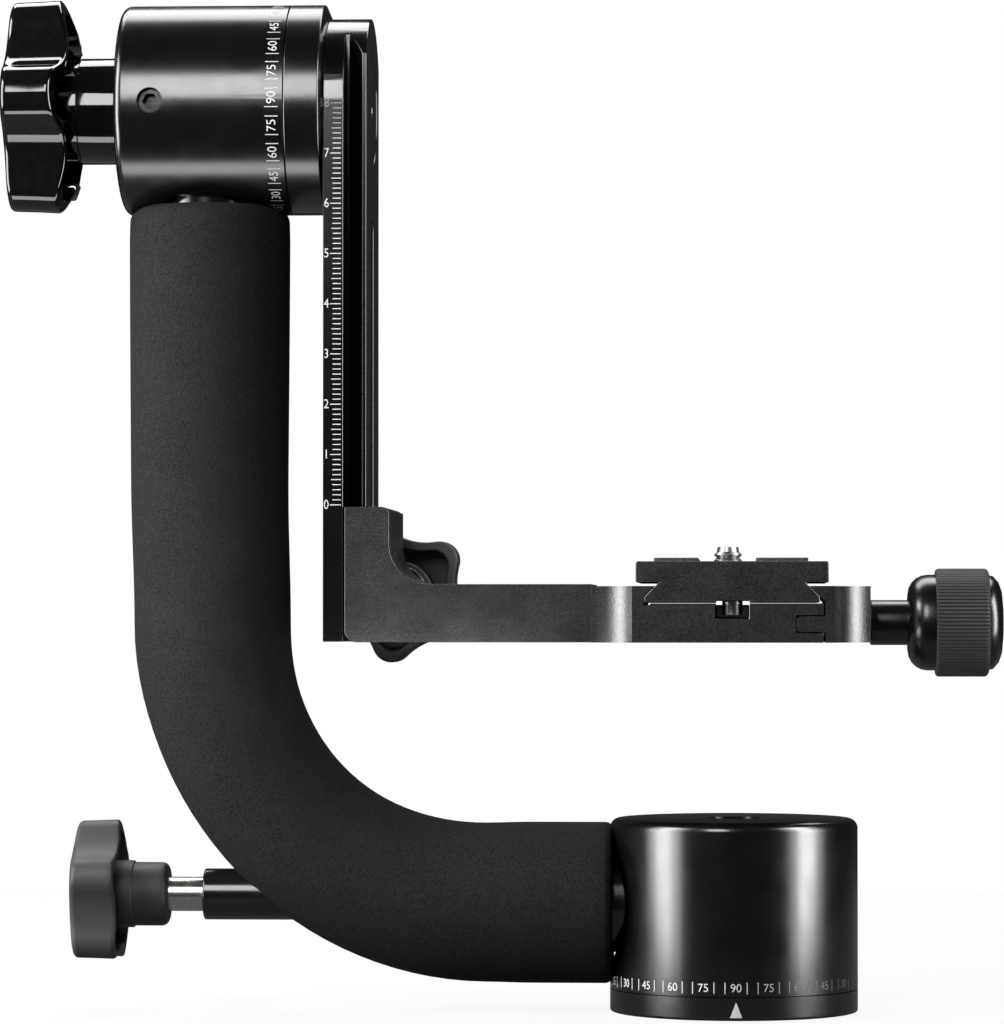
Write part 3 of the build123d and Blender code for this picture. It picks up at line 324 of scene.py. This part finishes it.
# name, dark and light colour, range of roughness
FINISH = {
    "anodised": surface(
        "satin_black_anodised", grey(0.001), grey(0.003), (0.19, 0.24),
        grain=0.12, depth=0.003, gloss=1.0,
    ),
    "smooth": surface(
        "smooth_black_anodised", grey(0.001), grey(0.003), (0.13, 0.16),
        grain=0.12, depth=0.002, gloss=1.0,
    ),
    "blasted": surface(
        "blasted_black_anodised", grey(0.004), (0.026, 0.026, 0.027), (0.25, 0.31),
        grain=0.42, depth=0.04, gloss=1.0,
    ),
    "tube": surface(
        "black_tube", grey(0.005), grey(0.009), (0.15, 0.20),
        grain=0.2, depth=0.002, gloss=0.8,
    ),
    "gloss": surface(
        "piano_black", grey(0.003), grey(0.005), (0.05, 0.08),
        grain=1.5, depth=0.001, coat=0.5, gloss=0.6,
    ),
    "satin": surface(
        "satin_black_knob", grey(0.002), grey(0.004), (0.22, 0.28),
        grain=0.2, depth=0.002, gloss=0.8,
    ),
    "matte": surface(
        "matte_knob", (0.042, 0.042, 0.043), (0.064, 0.064, 0.065), (0.50, 0.60),
        grain=0.2, depth=0.012,
    ),
    "ribbed": surface(
        "ribbed_rubber", grey(0.03), grey(0.05), (0.6, 0.75),
        grain=0.3, depth=0.01,
    ),
    "pads": surface(
        "pad_rubber", grey(0.02), grey(0.07), (0.75, 0.9),
        grain=0.7, depth=0.25,
    ),
    "nickel": surface(
        "bright_nickel", (0.56, 0.54, 0.51), (0.70, 0.68, 0.65), (0.20, 0.30),
        metallic=1.0, grain=0.6, depth=0.003, cloud=2.5,
    ),
    "steel": surface(
        "machined_steel", (0.30, 0.30, 0.31), (0.42, 0.42, 0.43), (0.30, 0.45),
        metallic=1.0, grain=0.3, depth=0.004,
    ),
    "oxide": surface(
        "dark_oxide_steel", grey(0.06), grey(0.10), (0.12, 0.18),
        metallic=1.0, grain=0.3, depth=0.004,
    ),
    "bearing": surface(
        "bearing_steel", (0.62, 0.62, 0.63), (0.70, 0.70, 0.71), (0.12, 0.2),
        metallic=1.0, grain=0.8, depth=0.002,
    ),
    "nylon": surface(
        "natural_nylon", (0.70, 0.68, 0.60), (0.78, 0.76, 0.69), (0.4, 0.5),
        grain=0.5, depth=0.005,
    ),
    "foam": foam_finish(),
    "ink": surface(
        "white_ink", grey(0.78), grey(0.88), (0.45, 0.6),
        grain=0.15, depth=0.004,
    ),
}

# finish of each material slot of the record, for the CAD nodes that stay
SLOT_FINISH = {
    "black_anodised": "anodised",
    "sandblasted_black": "blasted",
    "black_tube": "tube",
    "foam": "foam",
    "gloss_knob": "gloss",
    "matte_knob": "matte",
    "ribbed_rubber": "ribbed",
    "nickel": "nickel",
    "bearing_steel": "bearing",
    "nylon": "nylon",
    "zinc_steel": "steel",
}
NODE_SLOT = {}
for subpart in frame["record"]["subparts"]:
    NODE_SLOT[subpart["node"]] = subpart["material_slot"]
NODE_BODY = {}
for body_name, members in frame["record"]["behaviour"]["bodies"].items():
    for member in members:
        NODE_BODY[member] = body_name


# ---------------------------------------------------------------- mesh helpers
# angles in degrees, lengths in millimetres
SHARP = 32
MERGE_GAP = 1e-4
CAD_MERGE_GAP = 0.001
COPLANAR = 0.3
ARC_STEPS = 5


def publish(bm, name, finish, node, stands_for=True, sharp=SHARP):
    """Write a millimetre bmesh as a piece that rides with a node's body, and stands for that node."""
    bmesh.ops.remove_doubles(bm, verts=bm.verts, dist=MERGE_GAP)
    bmesh.ops.recalc_face_normals(bm, faces=bm.faces)
    bmesh.ops.scale(bm, vec=(MM, MM, MM), verts=bm.verts)
    mesh = bpy.data.meshes.new(name)
    bm.to_mesh(mesh)
    bm.free()
    for face in mesh.polygons:
        face.use_smooth = True
    mesh.set_sharp_from_angle(angle=radians(sharp))
    mesh.materials.append(FINISH[finish])
    piece = bpy.data.objects.new(name, mesh)
    bpy.context.scene.collection.objects.link(piece)
    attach(piece, NODE_BODY[node])
    if stands_for:
        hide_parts(node)
    return piece


def soften(corners):
    """Outline of (along, out, rounding) corners, each rounding as an arc."""
    outline = []
    for index, (along, out, rounding) in enumerate(corners):
        here = Vector((along, out))
        if rounding == 0:
            outline.append(here)
            continue
        before = (Vector(corners[index - 1][:2]) - here).normalized()
        after = (Vector(corners[(index + 1) % len(corners)][:2]) - here).normalized()
        half = before.angle(after) / 2
        centre = here + (before + after).normalized() * rounding / sin(half)
        start = (here + before * rounding / tan(half) - centre).normalized()
        end = (here + after * rounding / tan(half) - centre).normalized()
        for step in range(ARC_STEPS + 1):
            outline.append(centre + start.slerp(end, step / ARC_STEPS) * rounding)
    return outline


def lathe(bm, corners, origin, along, out, turns):
    """Spin a profile of (along, out, rounding) corners about its axis."""
    verts = [bm.verts.new(origin + along * p.x + out * p.y) for p in soften(corners)]
    edges = [bm.edges.new(pair) for pair in zip(verts, verts[1:])]
    bmesh.ops.spin(
        bm, geom=verts + edges, cent=origin, axis=along, angle=2 * pi, steps=turns,
        use_merge=True, use_duplicate=False,
    )


def ring_at(bm, centre, facing, radius, segments):
    """A circle of vertices whose axis points along facing."""
    matrix = Matrix.Translation(centre) @ facing.to_track_quat("Z", "Y").to_matrix().to_4x4()
    made = bmesh.ops.create_circle(bm, segments=segments, radius=radius, matrix=matrix)
    return made["verts"]


def bridge_rings(bm, rings):
    """Faces from each ring of vertices to the next."""
    for pair in zip(rings, rings[1:]):
        edges = []
        for ring in pair:
            around = set(ring)
            edges += [e for e in bm.edges if e.verts[0] in around and e.verts[1] in around]
        bmesh.ops.bridge_loops(bm, edges=edges)


def dressed_copy(node, finish, edge):
    """A merged copy of a CAD node with bevelled edges, which stands for it."""
    bm = bmesh.new()
    bm.from_mesh(frame["nodes"][node].data)
    bmesh.ops.scale(bm, vec=(1 / MM, 1 / MM, 1 / MM), verts=bm.verts)
    bmesh.ops.remove_doubles(bm, verts=bm.verts, dist=CAD_MERGE_GAP)
    bmesh.ops.dissolve_limit(bm, angle_limit=radians(COPLANAR), verts=bm.verts, edges=bm.edges)
    piece = publish(bm, node + "_dressed", finish, node)
    if edge:
        bevel = piece.modifiers.new("edges", "BEVEL")
        bevel.width = edge * MM
        bevel.segments = 2
        bevel.limit_method = "ANGLE"
        bevel.angle_limit = radians(SHARP)
    flats = piece.modifiers.new("flats", "WEIGHTED_NORMAL")
    flats.keep_sharp = True


# ---------------------------------------------------------------- foam grip
FOAM_SEGMENTS = 72
# radius of the middle line in the bend, of the upper rim's rounding and of the lower end's
BEND = 62.0
BEND_STEPS = 30
RIM = 3.6
RIM_STEPS = 6
LIP = 1.6
LIP_STEPS = 4
UPRIGHT_STEP = 4
RUN_STEP = 3
# clearance round the tube and under the tilt housing, and how far down the housing is near
BORE_GAP = 0.3
HOUSING_GAP = 0.1
NECK = 10
# how much wider or thinner the sleeve is than a plain one
TOP_SWELL = 0.1
BEND_THINNING = 0.4
MIDDLE_THINNING = 0.65
EARLY_THINNING = 0.45
EARLY_SHARE = 0.25
RUN_THINNING = 0.2
RUN_SWELLS_OVER = 10
# how far the sleeve leans into the bend, over how much height, and where in the bend that fades
FOAM_LEAN = 0.7
LEAN_OVER = 32
LEAN_FADES_AT = 0.12
LEAN_FADES_OVER = 0.6


def foam_stations():
    """Middle, direction and radius of each ring of the foam's skin, down its outside and up its bore."""
    low, high = box_mm("foam_grip")
    tube_low, tube_high = box_mm("arm_tube")
    full = (high.y - low.y) / 2
    bore = (tube_high.y - tube_low.y) / 2 + BORE_GAP
    arm_x = low.x + full
    arm_z = low.z + full
    bend_x = arm_x + BEND
    bend_z = arm_z + BEND
    top = high.z
    end = high.x

    rim = [(Vector((arm_x, 0, top)), Z, bore), (Vector((arm_x, 0, top)), Z, full - RIM)]
    for step in range(1, RIM_STEPS + 1):
        turn = radians(90) * step / RIM_STEPS
        place = Vector((arm_x, 0, top - RIM * (1 - cos(turn))))
        rim.append((place, Z, full - RIM + RIM * sin(turn)))

    skin = []
    rise = top - RIM - UPRIGHT_STEP
    while rise > bend_z + 1:
        lean = FOAM_LEAN * ease((bend_z + LEAN_OVER - rise) / LEAN_OVER)
        thinning = (TOP_SWELL + BEND_THINNING) * ease((top - rise) / (top - bend_z))
        skin.append((Vector((arm_x + lean, 0, rise)), Z, full + TOP_SWELL - thinning))
        rise -= UPRIGHT_STEP
    for step in range(BEND_STEPS + 1):
        share = step / BEND_STEPS
        turn = radians(90) * share
        sweep = BEND - FOAM_LEAN * (1 - ease((share - LEAN_FADES_AT) / LEAN_FADES_OVER))
        centre = Vector((bend_x - sweep * cos(turn), 0, bend_z - sweep * sin(turn)))
        thinning = BEND_THINNING * (1 - share) + RUN_THINNING * share
        thinning += MIDDLE_THINNING * sin(pi * share) ** 2
        thinning += EARLY_THINNING * ease(share / EARLY_SHARE) * (1 - share)
        skin.append((centre, Vector((-sin(turn), 0, cos(turn))), full - thinning))
    run = bend_x + RUN_STEP
    while run < end - RUN_STEP:
        thinning = RUN_THINNING * (1 - ease((run - bend_x) / RUN_SWELLS_OVER))
        skin.append((Vector((run, 0, arm_z)), -X, full - thinning))
        run += RUN_STEP

    lip = []
    for step in range(LIP_STEPS + 1):
        turn = radians(90) * step / LIP_STEPS
        place = Vector((end - LIP + LIP * sin(turn), 0, arm_z))
        lip.append((place, -X, full - LIP + LIP * cos(turn)))
    lip.append((Vector((end, 0, arm_z)), -X, bore))
    inside = [(centre, facing, bore) for centre, facing, radius in reversed(skin[:-1])]
    return rim + skin + lip + inside


def make_foam():
    """The foam sleeve along the J: it thins in the bend, and its ends are rounded over."""
    bm = bmesh.new()
    rings = []
    for centre, facing, radius in foam_stations():
        rings.append(ring_at(bm, centre, facing, radius, FOAM_SEGMENTS))
    bridge_rings(bm, rings + rings[:1])
    top = box_mm("foam_grip")[1].z
    low, high = box_mm("tilt_housing")
    axis_z = (low.z + high.z) / 2
    clear = (high.z - low.z) / 2 + HOUSING_GAP
    for vert in bm.verts:
        if vert.co.z > top - NECK:
            vert.co.z = min(vert.co.z, axis_z - sqrt(clear ** 2 - vert.co.y ** 2))
    piece = publish(bm, "foam_sleeve", "foam", "foam_grip", sharp=60)


# ---------------------------------------------------------------- star knobs
LOBES = 5
POINTS_PER_LOBE = 28
# radius of a lobe's tip as a share of the knob's
LOBE_TIP = 0.27
# how far the faces of the two side knobs stand past the plain ones
FACE_BEYOND = 0.5
FACE_EDGE = 1.2
FACE_EDGE_STEPS = 5
BACK_EDGE = 0.6
BACK_EDGE_STEPS = 3
WALL_EDGE = 0.4
# floor of the hollow as a share of the depth, and rings on the face and floor as shares of the reach
HOLLOW_FLOOR = 0.4
FACE_RINGS = (0.3, 0.7)
FLOOR_RING = 0.3
SUPPORT_GAP = 0.3


def star_reach(angle, outer, valley):
    """How far a star outline reaches at an angle from the middle of a lobe.

    Each lobe tip and each valley is an arc, and the two meet smoothly at the joint.
    """
    half = pi / LOBES
    off = abs((angle + half) % (2 * half) - half)
    tip = outer * LOBE_TIP
    reach = outer - tip
    low = outer * valley
    away = (reach ** 2 - (tip - low) ** 2) / (2 * (tip - low + reach * cos(half)))
    flank = away - low
    share = tip / (tip + flank)
    joint = atan2(away * sin(half) * share, reach + (away * cos(half) - reach) * share)
    if off < joint:
        return reach * cos(off) + sqrt(tip ** 2 - (reach * sin(off)) ** 2)
    off = half - off
    return away * cos(off) - sqrt(flank ** 2 - (away * sin(off)) ** 2)


def make_star_knob(
    name, node, finish, origin, out, start, hub,
    outer, valley, turn, depth, wall, trim, draft=0.0, dome=0.0,
):
    """A hollow star knob. Origin is the middle of its outer face, out points away from the head.

    The lobes are angled from start, trim is how much shallower the lobe tips are than the valleys, and
    hub is its profile as (distance from the face, radius, rounding). The face is smaller than the rim by
    the draft, and sinks by the dome at its lobe tips.
    """
    side = out.cross(start)
    low = outer * valley
    floor = depth * HOLLOW_FLOOR
    bm = bmesh.new()
    rings = []

    def star_ring(inset, level, share=1.0, back=False):
        """Add a lobed ring of vertices that deep below the outer face."""
        made = bmesh.ops.create_circle(bm, segments=LOBES * POINTS_PER_LOBE, radius=1.0)
        near = 1 - level / depth
        for index, vert in enumerate(made["verts"]):
            angle = 2 * pi * index / len(made["verts"])
            reach = star_reach(angle - radians(turn), outer - inset - draft * near, valley) * share
            drop = trim * max(0, (reach - low) / (outer - low)) if back else 0
            sink = dome * near * (reach / outer) ** 2
            around = start * cos(angle) + side * sin(angle)
            vert.co = origin - out * (level + sink - drop) + around * reach
        rings.append(made["verts"])

    # rings over the face, its rounded edge, the side, the back edge, the wall's rim and the hollow
    for share in FACE_RINGS:
        star_ring(0, 0, share)
    for step in range(FACE_EDGE_STEPS + 1):
        bend = radians(90) * step / FACE_EDGE_STEPS
        star_ring(FACE_EDGE - FACE_EDGE * sin(bend), FACE_EDGE * (1 - cos(bend)))
    star_ring(0, FACE_EDGE + SUPPORT_GAP)
    star_ring(0, depth * 0.5)
    star_ring(0, depth - BACK_EDGE - WALL_EDGE, back=True)
    for step in range(BACK_EDGE_STEPS + 1):
        bend = radians(90) * step / BACK_EDGE_STEPS
        star_ring(BACK_EDGE * (1 - cos(bend)), depth - BACK_EDGE * (1 - sin(bend)), back=True)
    star_ring(wall - WALL_EDGE, depth, back=True)
    star_ring(wall, depth - WALL_EDGE, back=True)
    star_ring(wall, floor)
    star_ring(wall, floor, FLOOR_RING)
    bridge_rings(bm, rings)
    bmesh.ops.holes_fill(bm, edges=bm.edges, sides=0)
    lathe(bm, hub, origin, -out, start, turns=96)
    publish(bm, name, finish, node, sharp=40)


def make_knobs():
    """The three star knobs: tilt lock, pan lock and rail lock."""
    low, high = box_mm("tilt_lock_knob")
    axis_z = middle_mm("tilt_housing").z
    length = high.x - low.x
    collar = 15.9
    hub = [
        (5.5, 0, 0), (5.5, 11.5, 0), (collar, 11.5, 0), (collar, 11.9, 0.3),
        (length, 11.9, 0.3), (length, 0, 0),
    ]
    face = Vector((low.x - FACE_BEYOND, 0, axis_z))
    make_star_knob(
        "tilt_lock_star", "tilt_lock_knob", "gloss", face, -X, -Y, hub,
        outer=25.0, valley=0.74, turn=5.5, depth=14.3, wall=3.0, trim=2.4, draft=0.5, dome=1.0,
    )
    low, high = box_mm("pan_lock_knob")
    axis_z = middle_mm("pan_lock_rod").z
    length = high.x - low.x
    collar = 13.8
    hub = [
        (4.0, 0, 0), (4.0, 7.5, 0), (collar, 7.5, 0.4), (collar, 7.1, 0),
        (length, 7.1, 1.6), (length, 0, 0),
    ]
    face = Vector((low.x - FACE_BEYOND, 0, axis_z))
    make_star_knob(
        "pan_lock_star", "pan_lock_knob", "matte", face, -X, -Y, hub,
        outer=16.6, valley=0.78, turn=20.0, depth=10.9, wall=2.2, trim=0.6, draft=0.3, dome=1.2,
    )
    low, high = box_mm("rail_lock_knob")
    axis = middle_mm("rail_lock_screw")
    length = high.y - low.y
    hub = [(3.8, 0, 0), (3.8, 7.4, 0), (length, 7.4, 0.5), (length, 0, 0)]
    face = Vector((axis.x, high.y, axis.z))
    make_star_knob(
        "rail_lock_star", "rail_lock_knob", "matte", face, Y, X, hub,
        outer=16.0, valley=0.78, turn=-42.0, depth=10.5, wall=2.8, trim=0.8,
    )


# ---------------------------------------------------------------- clamp knob
KNOB_COLLAR = 5.0
KNOB_COLLAR_LENGTH = 8.3
KNOB_SHOULDER = 4.4
GRIP_SEAT = 0.9
RIBS = 89
POINTS_PER_RIB = 5


def make_clamp_knob():
    """The domed knob: collar, shoulder, seat of the grip, and the domed outer face."""
    low, high = box_mm("clamp_knob")
    grip_low, grip_high = box_mm("clamp_knob_grip")
    axis_z = (low.z + high.z) / 2
    radius = (high.z - low.z) / 2
    seat = radius - GRIP_SEAT
    shoulder = low.x + KNOB_COLLAR_LENGTH
    profile = [
        (low.x, 0, 0),
        (low.x, KNOB_COLLAR, 0.4),
        (shoulder, KNOB_COLLAR, 0),
        (shoulder + 0.1, radius, KNOB_SHOULDER),
        (grip_low.x, radius, 0),
        (grip_low.x, seat, 0),
        (grip_high.x, seat, 0),
        (grip_high.x, radius - 0.1, 0),
        (grip_high.x + 1.0, radius - 0.35, 0),
        (high.x - 1.0, radius - 1.75, 0),
        (high.x - 0.35, radius - 3.6, 0),
        (high.x - 0.08, radius - 6.2, 0),
        (high.x, 0, 0),
    ]
    bm = bmesh.new()
    lathe(bm, profile, Vector((0, 0, axis_z)), X, Z, turns=160)
    publish(bm, "clamp_knob_body", "satin", "clamp_knob", sharp=50)


def make_knob_grip():
    """The ribbed rubber ring on the clamp knob."""
    low, high = box_mm("clamp_knob_grip")
    knob_low, knob_high = box_mm("clamp_knob")
    axis_z = (knob_low.z + knob_high.z) / 2
    seat = (knob_high.z - knob_low.z) / 2 - GRIP_SEAT
    outer = (high.z - low.z) / 2
    sections = [
        # place along the axis, reach of the ribs, depth of the grooves between them
        (low.x, seat, 0.0),
        (low.x, outer - 0.5, 0.0),
        (low.x + 0.3, outer - 0.12, 0.24),
        (low.x + 0.7, outer, 0.32),
        (high.x - 0.8, outer, 0.32),
        (high.x - 0.3, outer - 0.3, 0.24),
        (high.x, outer - 0.9, 0.0),
        (high.x, seat, 0.0),
    ]
    bm = bmesh.new()
    rings = []
    for place, reach, groove in sections:
        centre = Vector((place, 0, axis_z))
        ring = ring_at(bm, centre, X, reach, RIBS * POINTS_PER_RIB)
        for vert in ring[::POINTS_PER_RIB]:
            vert.co = centre + (vert.co - centre) * (1 - groove / reach)
        rings.append(ring)
    bridge_rings(bm, rings + rings[:1])
    publish(bm, "clamp_knob_ribs", "ribbed", "clamp_knob_grip", sharp=25)


# ---------------------------------------------------------------- camera screw
HEAD_HEIGHT = 2.4
# radius at the crest and the root of the thread, its pitch, and the flat of a crest in shares of that
CREST = 3.1
ROOT = 2.5
PITCH = 1.27
CREST_STARTS = 0.44
CREST_ENDS = 0.56
# how far below the plate's top the thread starts
THREAD_SUNK = 1.5


def make_camera_screw():
    """The 1/4-20 screw: a round head under the plate and a thread that stands above it."""
    low, high = box_mm("camera_screw")
    head = (high.x - low.x) / 2
    neck = low.z + HEAD_HEIGHT
    level = box_mm("release_plate")[1].z - THREAD_SUNK
    corners = [(low.z, 0, 0), (low.z, head, 0.3), (neck, head, 0.3), (neck, ROOT, 0), (level, ROOT, 0)]
    while level + PITCH < high.z:
        corners.append((level + PITCH * CREST_STARTS, CREST, 0))
        corners.append((level + PITCH * CREST_ENDS, CREST, 0))
        corners.append((level + PITCH, ROOT, 0))
        level += PITCH
    corners.append((high.z, ROOT - 0.2, 0))
    corners.append((high.z, 0, 0))
    bm = bmesh.new()
    lathe(bm, corners, Vector(((low.x + high.x) / 2, 0, 0)), Z, X, turns=64)
    publish(bm, "camera_screw_threaded", "steel", "camera_screw", sharp=25)


# ---------------------------------------------------------------- printed scales
# how far the ink stands off, and the height of a capital as a share of the letters' size
INK = 0.025
CAPITAL = 0.71
TICK_WIDTH = 0.2
# degrees from number to number and from a number to its ticks
DIAL_STEP = 15
TICK_OFFSET = 5
PAN_DIAL_TURN = 1.2
TILT_DIAL_TURN = 1.0
TILT_DIAL_FROM_END = 2.35
INDEX_CORNERS = ((-1.35, 0.7, 0), (1.35, 0.7, 0), (0, 4.1, 0))
INDEX_CUT = 0.27
# ruler: its 0 above the bracket's top, its unit, and places from the arm's inner edge
RULER_ABOVE = 0.45
RULER_UNIT = 11.05
RULER_TENTHS = 80
RULER_TICKS_END = 3.95
RULER_DIGITS_AT = 0.75
RULER_DIGIT = 2.05
RULER_SQUEEZE = 0.8


def text_bmesh(words, height):
    """Flat text of that capital height, centred on its middle, in the XY plane, in millimetres."""
    data = bpy.data.curves.new("mark", "FONT")
    data.body = words
    data.align_x = "CENTER"
    data.align_y = "CENTER"
    data.size = height / CAPITAL
    data.resolution_u = 4
    holder = bpy.data.objects.new("mark", data)
    bpy.context.scene.collection.objects.link(holder)
    bpy.context.view_layer.update()
    mesh = bpy.data.meshes.new_from_object(holder)
    bpy.data.objects.remove(holder)
    bm = bmesh.new()
    bm.from_mesh(mesh)
    bpy.data.meshes.remove(mesh)
    return bm


def add_bar(target, centre, width, height):
    """A flat bar in the XY plane of a bmesh, cut across so that it can follow a curve."""
    made = bmesh.ops.create_grid(target, x_segments=2, y_segments=2, size=0.5)
    bmesh.ops.scale(target, vec=(width, height, 1), verts=made["verts"])
    bmesh.ops.translate(target, vec=(centre[0], centre[1], 0), verts=made["verts"])


def append(target, extra, shift):
    """Add a bmesh to another, moved in the plane."""
    bmesh.ops.translate(extra, vec=(shift[0], shift[1], 0), verts=extra.verts)
    mesh = bpy.data.meshes.new("part")
    extra.to_mesh(mesh)
    extra.free()
    target.from_mesh(mesh)
    bpy.data.meshes.remove(mesh)


def dial_sheet(radius, digit_height, tick_height, digit_level, tick_level):
    """Flat strip of a dial: numbers that fall to both sides of 90, each between two ticks."""
    sheet = bmesh.new()
    for angle in range(DIAL_STEP - 180, 181, DIAL_STEP):
        number = abs(90 - abs(angle))
        append(sheet, text_bmesh(str(number), digit_height), (radians(angle) * radius, digit_level))
        for side in (-TICK_OFFSET, TICK_OFFSET):
            add_bar(sheet, (radians(angle + side) * radius, tick_level), TICK_WIDTH, tick_height)
    return sheet


def wrap_upright(sheet, radius):
    """Wrap a flat sheet round the foot of the pan housing."""
    for vert in sheet.verts:
        angle = vert.co.x / radius + radians(PAN_DIAL_TURN)
        level = vert.co.y
        vert.co = Vector((sin(angle) * (radius + INK), -cos(angle) * (radius + INK), level))


def make_pan_dial():
    """Numbers round the foot of the pan housing, and the index triangle on the base ring."""
    low, high = box_mm("pan_housing")
    radius = (high.y - low.y) / 2
    sheet = dial_sheet(
        radius, digit_height=1.8, tick_height=2.5, digit_level=low.z + 1.85, tick_level=low.z + 1.9,
    )
    wrap_upright(sheet, radius)
    publish(sheet, "pan_dial_print", "ink", "pan_housing", stands_for=False)

    index = bmesh.new()
    made = bmesh.ops.create_circle(index, cap_ends=True, segments=3, radius=1.0)
    for vert, place in zip(made["verts"], INDEX_CORNERS):
        vert.co = place
    for step in range(-4, 5):
        whole = index.verts[:] + index.edges[:] + index.faces[:]
        bmesh.ops.bisect_plane(index, geom=whole, plane_co=X * INDEX_CUT * step, plane_no=X)
    wrap_upright(index, radius)
    publish(index, "pan_index_print", "ink", "base_plate", stands_for=False)


def make_tilt_dial():
    """Numbers round the right end of the tilt housing, read from below upwards."""
    low, high = box_mm("tilt_housing")
    radius = (high.z - low.z) / 2
    axis_z = (high.z + low.z) / 2
    middle = high.x - TILT_DIAL_FROM_END
    sheet = dial_sheet(radius, digit_height=2.05, tick_height=2.9, digit_level=0, tick_level=0.05)
    for vert in sheet.verts:
        angle = vert.co.x / radius + radians(TILT_DIAL_TURN)
        along = middle - vert.co.y
        vert.co = Vector((along, -cos(angle) * (radius + INK), axis_z + sin(angle) * (radius + INK)))
    publish(sheet, "tilt_dial_print", "ink", "tilt_housing", stands_for=False)


def tick_length(step):
    """Length of a ruler tick: longest at whole numbers, shorter at halves, shortest at tenths."""
    if step % 10 == 0:
        return 2.4
    if step % 5 == 0:
        return 2.1
    return 1.85


def make_ruler():
    """Ruler on the front edge of the swing arm, 0 at the bracket's top and 8 at the tilt axis."""
    corner = box_mm("swing_arm")[0]
    zero = box_mm("platform_bracket")[1].z + RULER_ABOVE
    sheet = bmesh.new()
    for step in range(RULER_TENTHS + 1):
        level = zero + RULER_UNIT * step / 10
        length = tick_length(step)
        add_bar(sheet, (corner.x + RULER_TICKS_END - length / 2, level), length, TICK_WIDTH)
        if step % 10 == 0:
            digit = text_bmesh(str(step // 10), RULER_DIGIT)
            bmesh.ops.scale(digit, vec=(RULER_SQUEEZE, 1, 1), verts=digit.verts)
            append(sheet, digit, (corner.x + RULER_DIGITS_AT, level))
    for vert in sheet.verts:
        vert.co = Vector((vert.co.x, corner.y - INK, vert.co.y))
    publish(sheet, "ruler_print", "ink", "swing_arm", stands_for=False)


# ---------------------------------------------------------------- assembly
DRESSED = {
    # node: finish, width of the edge bevels in mm
    "base_plate": ("anodised", 0.25),
    "pan_housing": ("anodised", 0.0),
    "tilt_housing": ("anodised", 0.15),
    "tilt_rotor": ("anodised", 0.2),
    "swing_arm": ("smooth", 0.3),
    "swing_cap": ("anodised", 0.3),
    "platform_bracket": ("blasted", 0.35),
    "rail_jaw": ("blasted", 0.35),
    "clamp_body": ("blasted", 0.3),
    "clamp_jaw": ("blasted", 0.3),
    "release_plate": ("blasted", 0.4),
    "plate_rubber_pads": ("pads", 0.15),
    "plate_stop_screws": ("nickel", 0.15),
    "clamp_stop_key": ("nickel", 0.3),
    "arm_tube": ("tube", 0.0),
    "lock_guide_tube": ("tube", 0.2),
    "pan_lock_rod": ("nickel", 0.2),
    "pan_spindle_screw": ("nickel", 0.3),
    "tilt_set_screw": ("oxide", 0.3),
    "clamp_screw": ("nickel", 0.1),
    "rail_lock_screw": ("nickel", 0.1),
    "tilt_lock_stud": ("nickel", 0.1),
    "base_screws": ("steel", 0.2),
    "tripod_thread_insert": ("steel", 0.2),
}

add_camera()
add_world()
add_floor()
for softbox in SOFTBOXES:
    add_softbox(*softbox)

for node_name, cad_object in frame["nodes"].items():
    cad_object.data.materials.clear()
    cad_object.data.materials.append(FINISH[SLOT_FINISH[NODE_SLOT[node_name]]])
for node_name, (finish_name, edge_width) in DRESSED.items():
    dressed_copy(node_name, finish_name, edge_width)
make_foam()
make_knobs()
make_clamp_knob()
make_knob_grip()
make_camera_screw()
make_pan_dial()
make_tilt_dial()
make_ruler()

bpy.context.scene.view_settings.view_transform = "Standard"
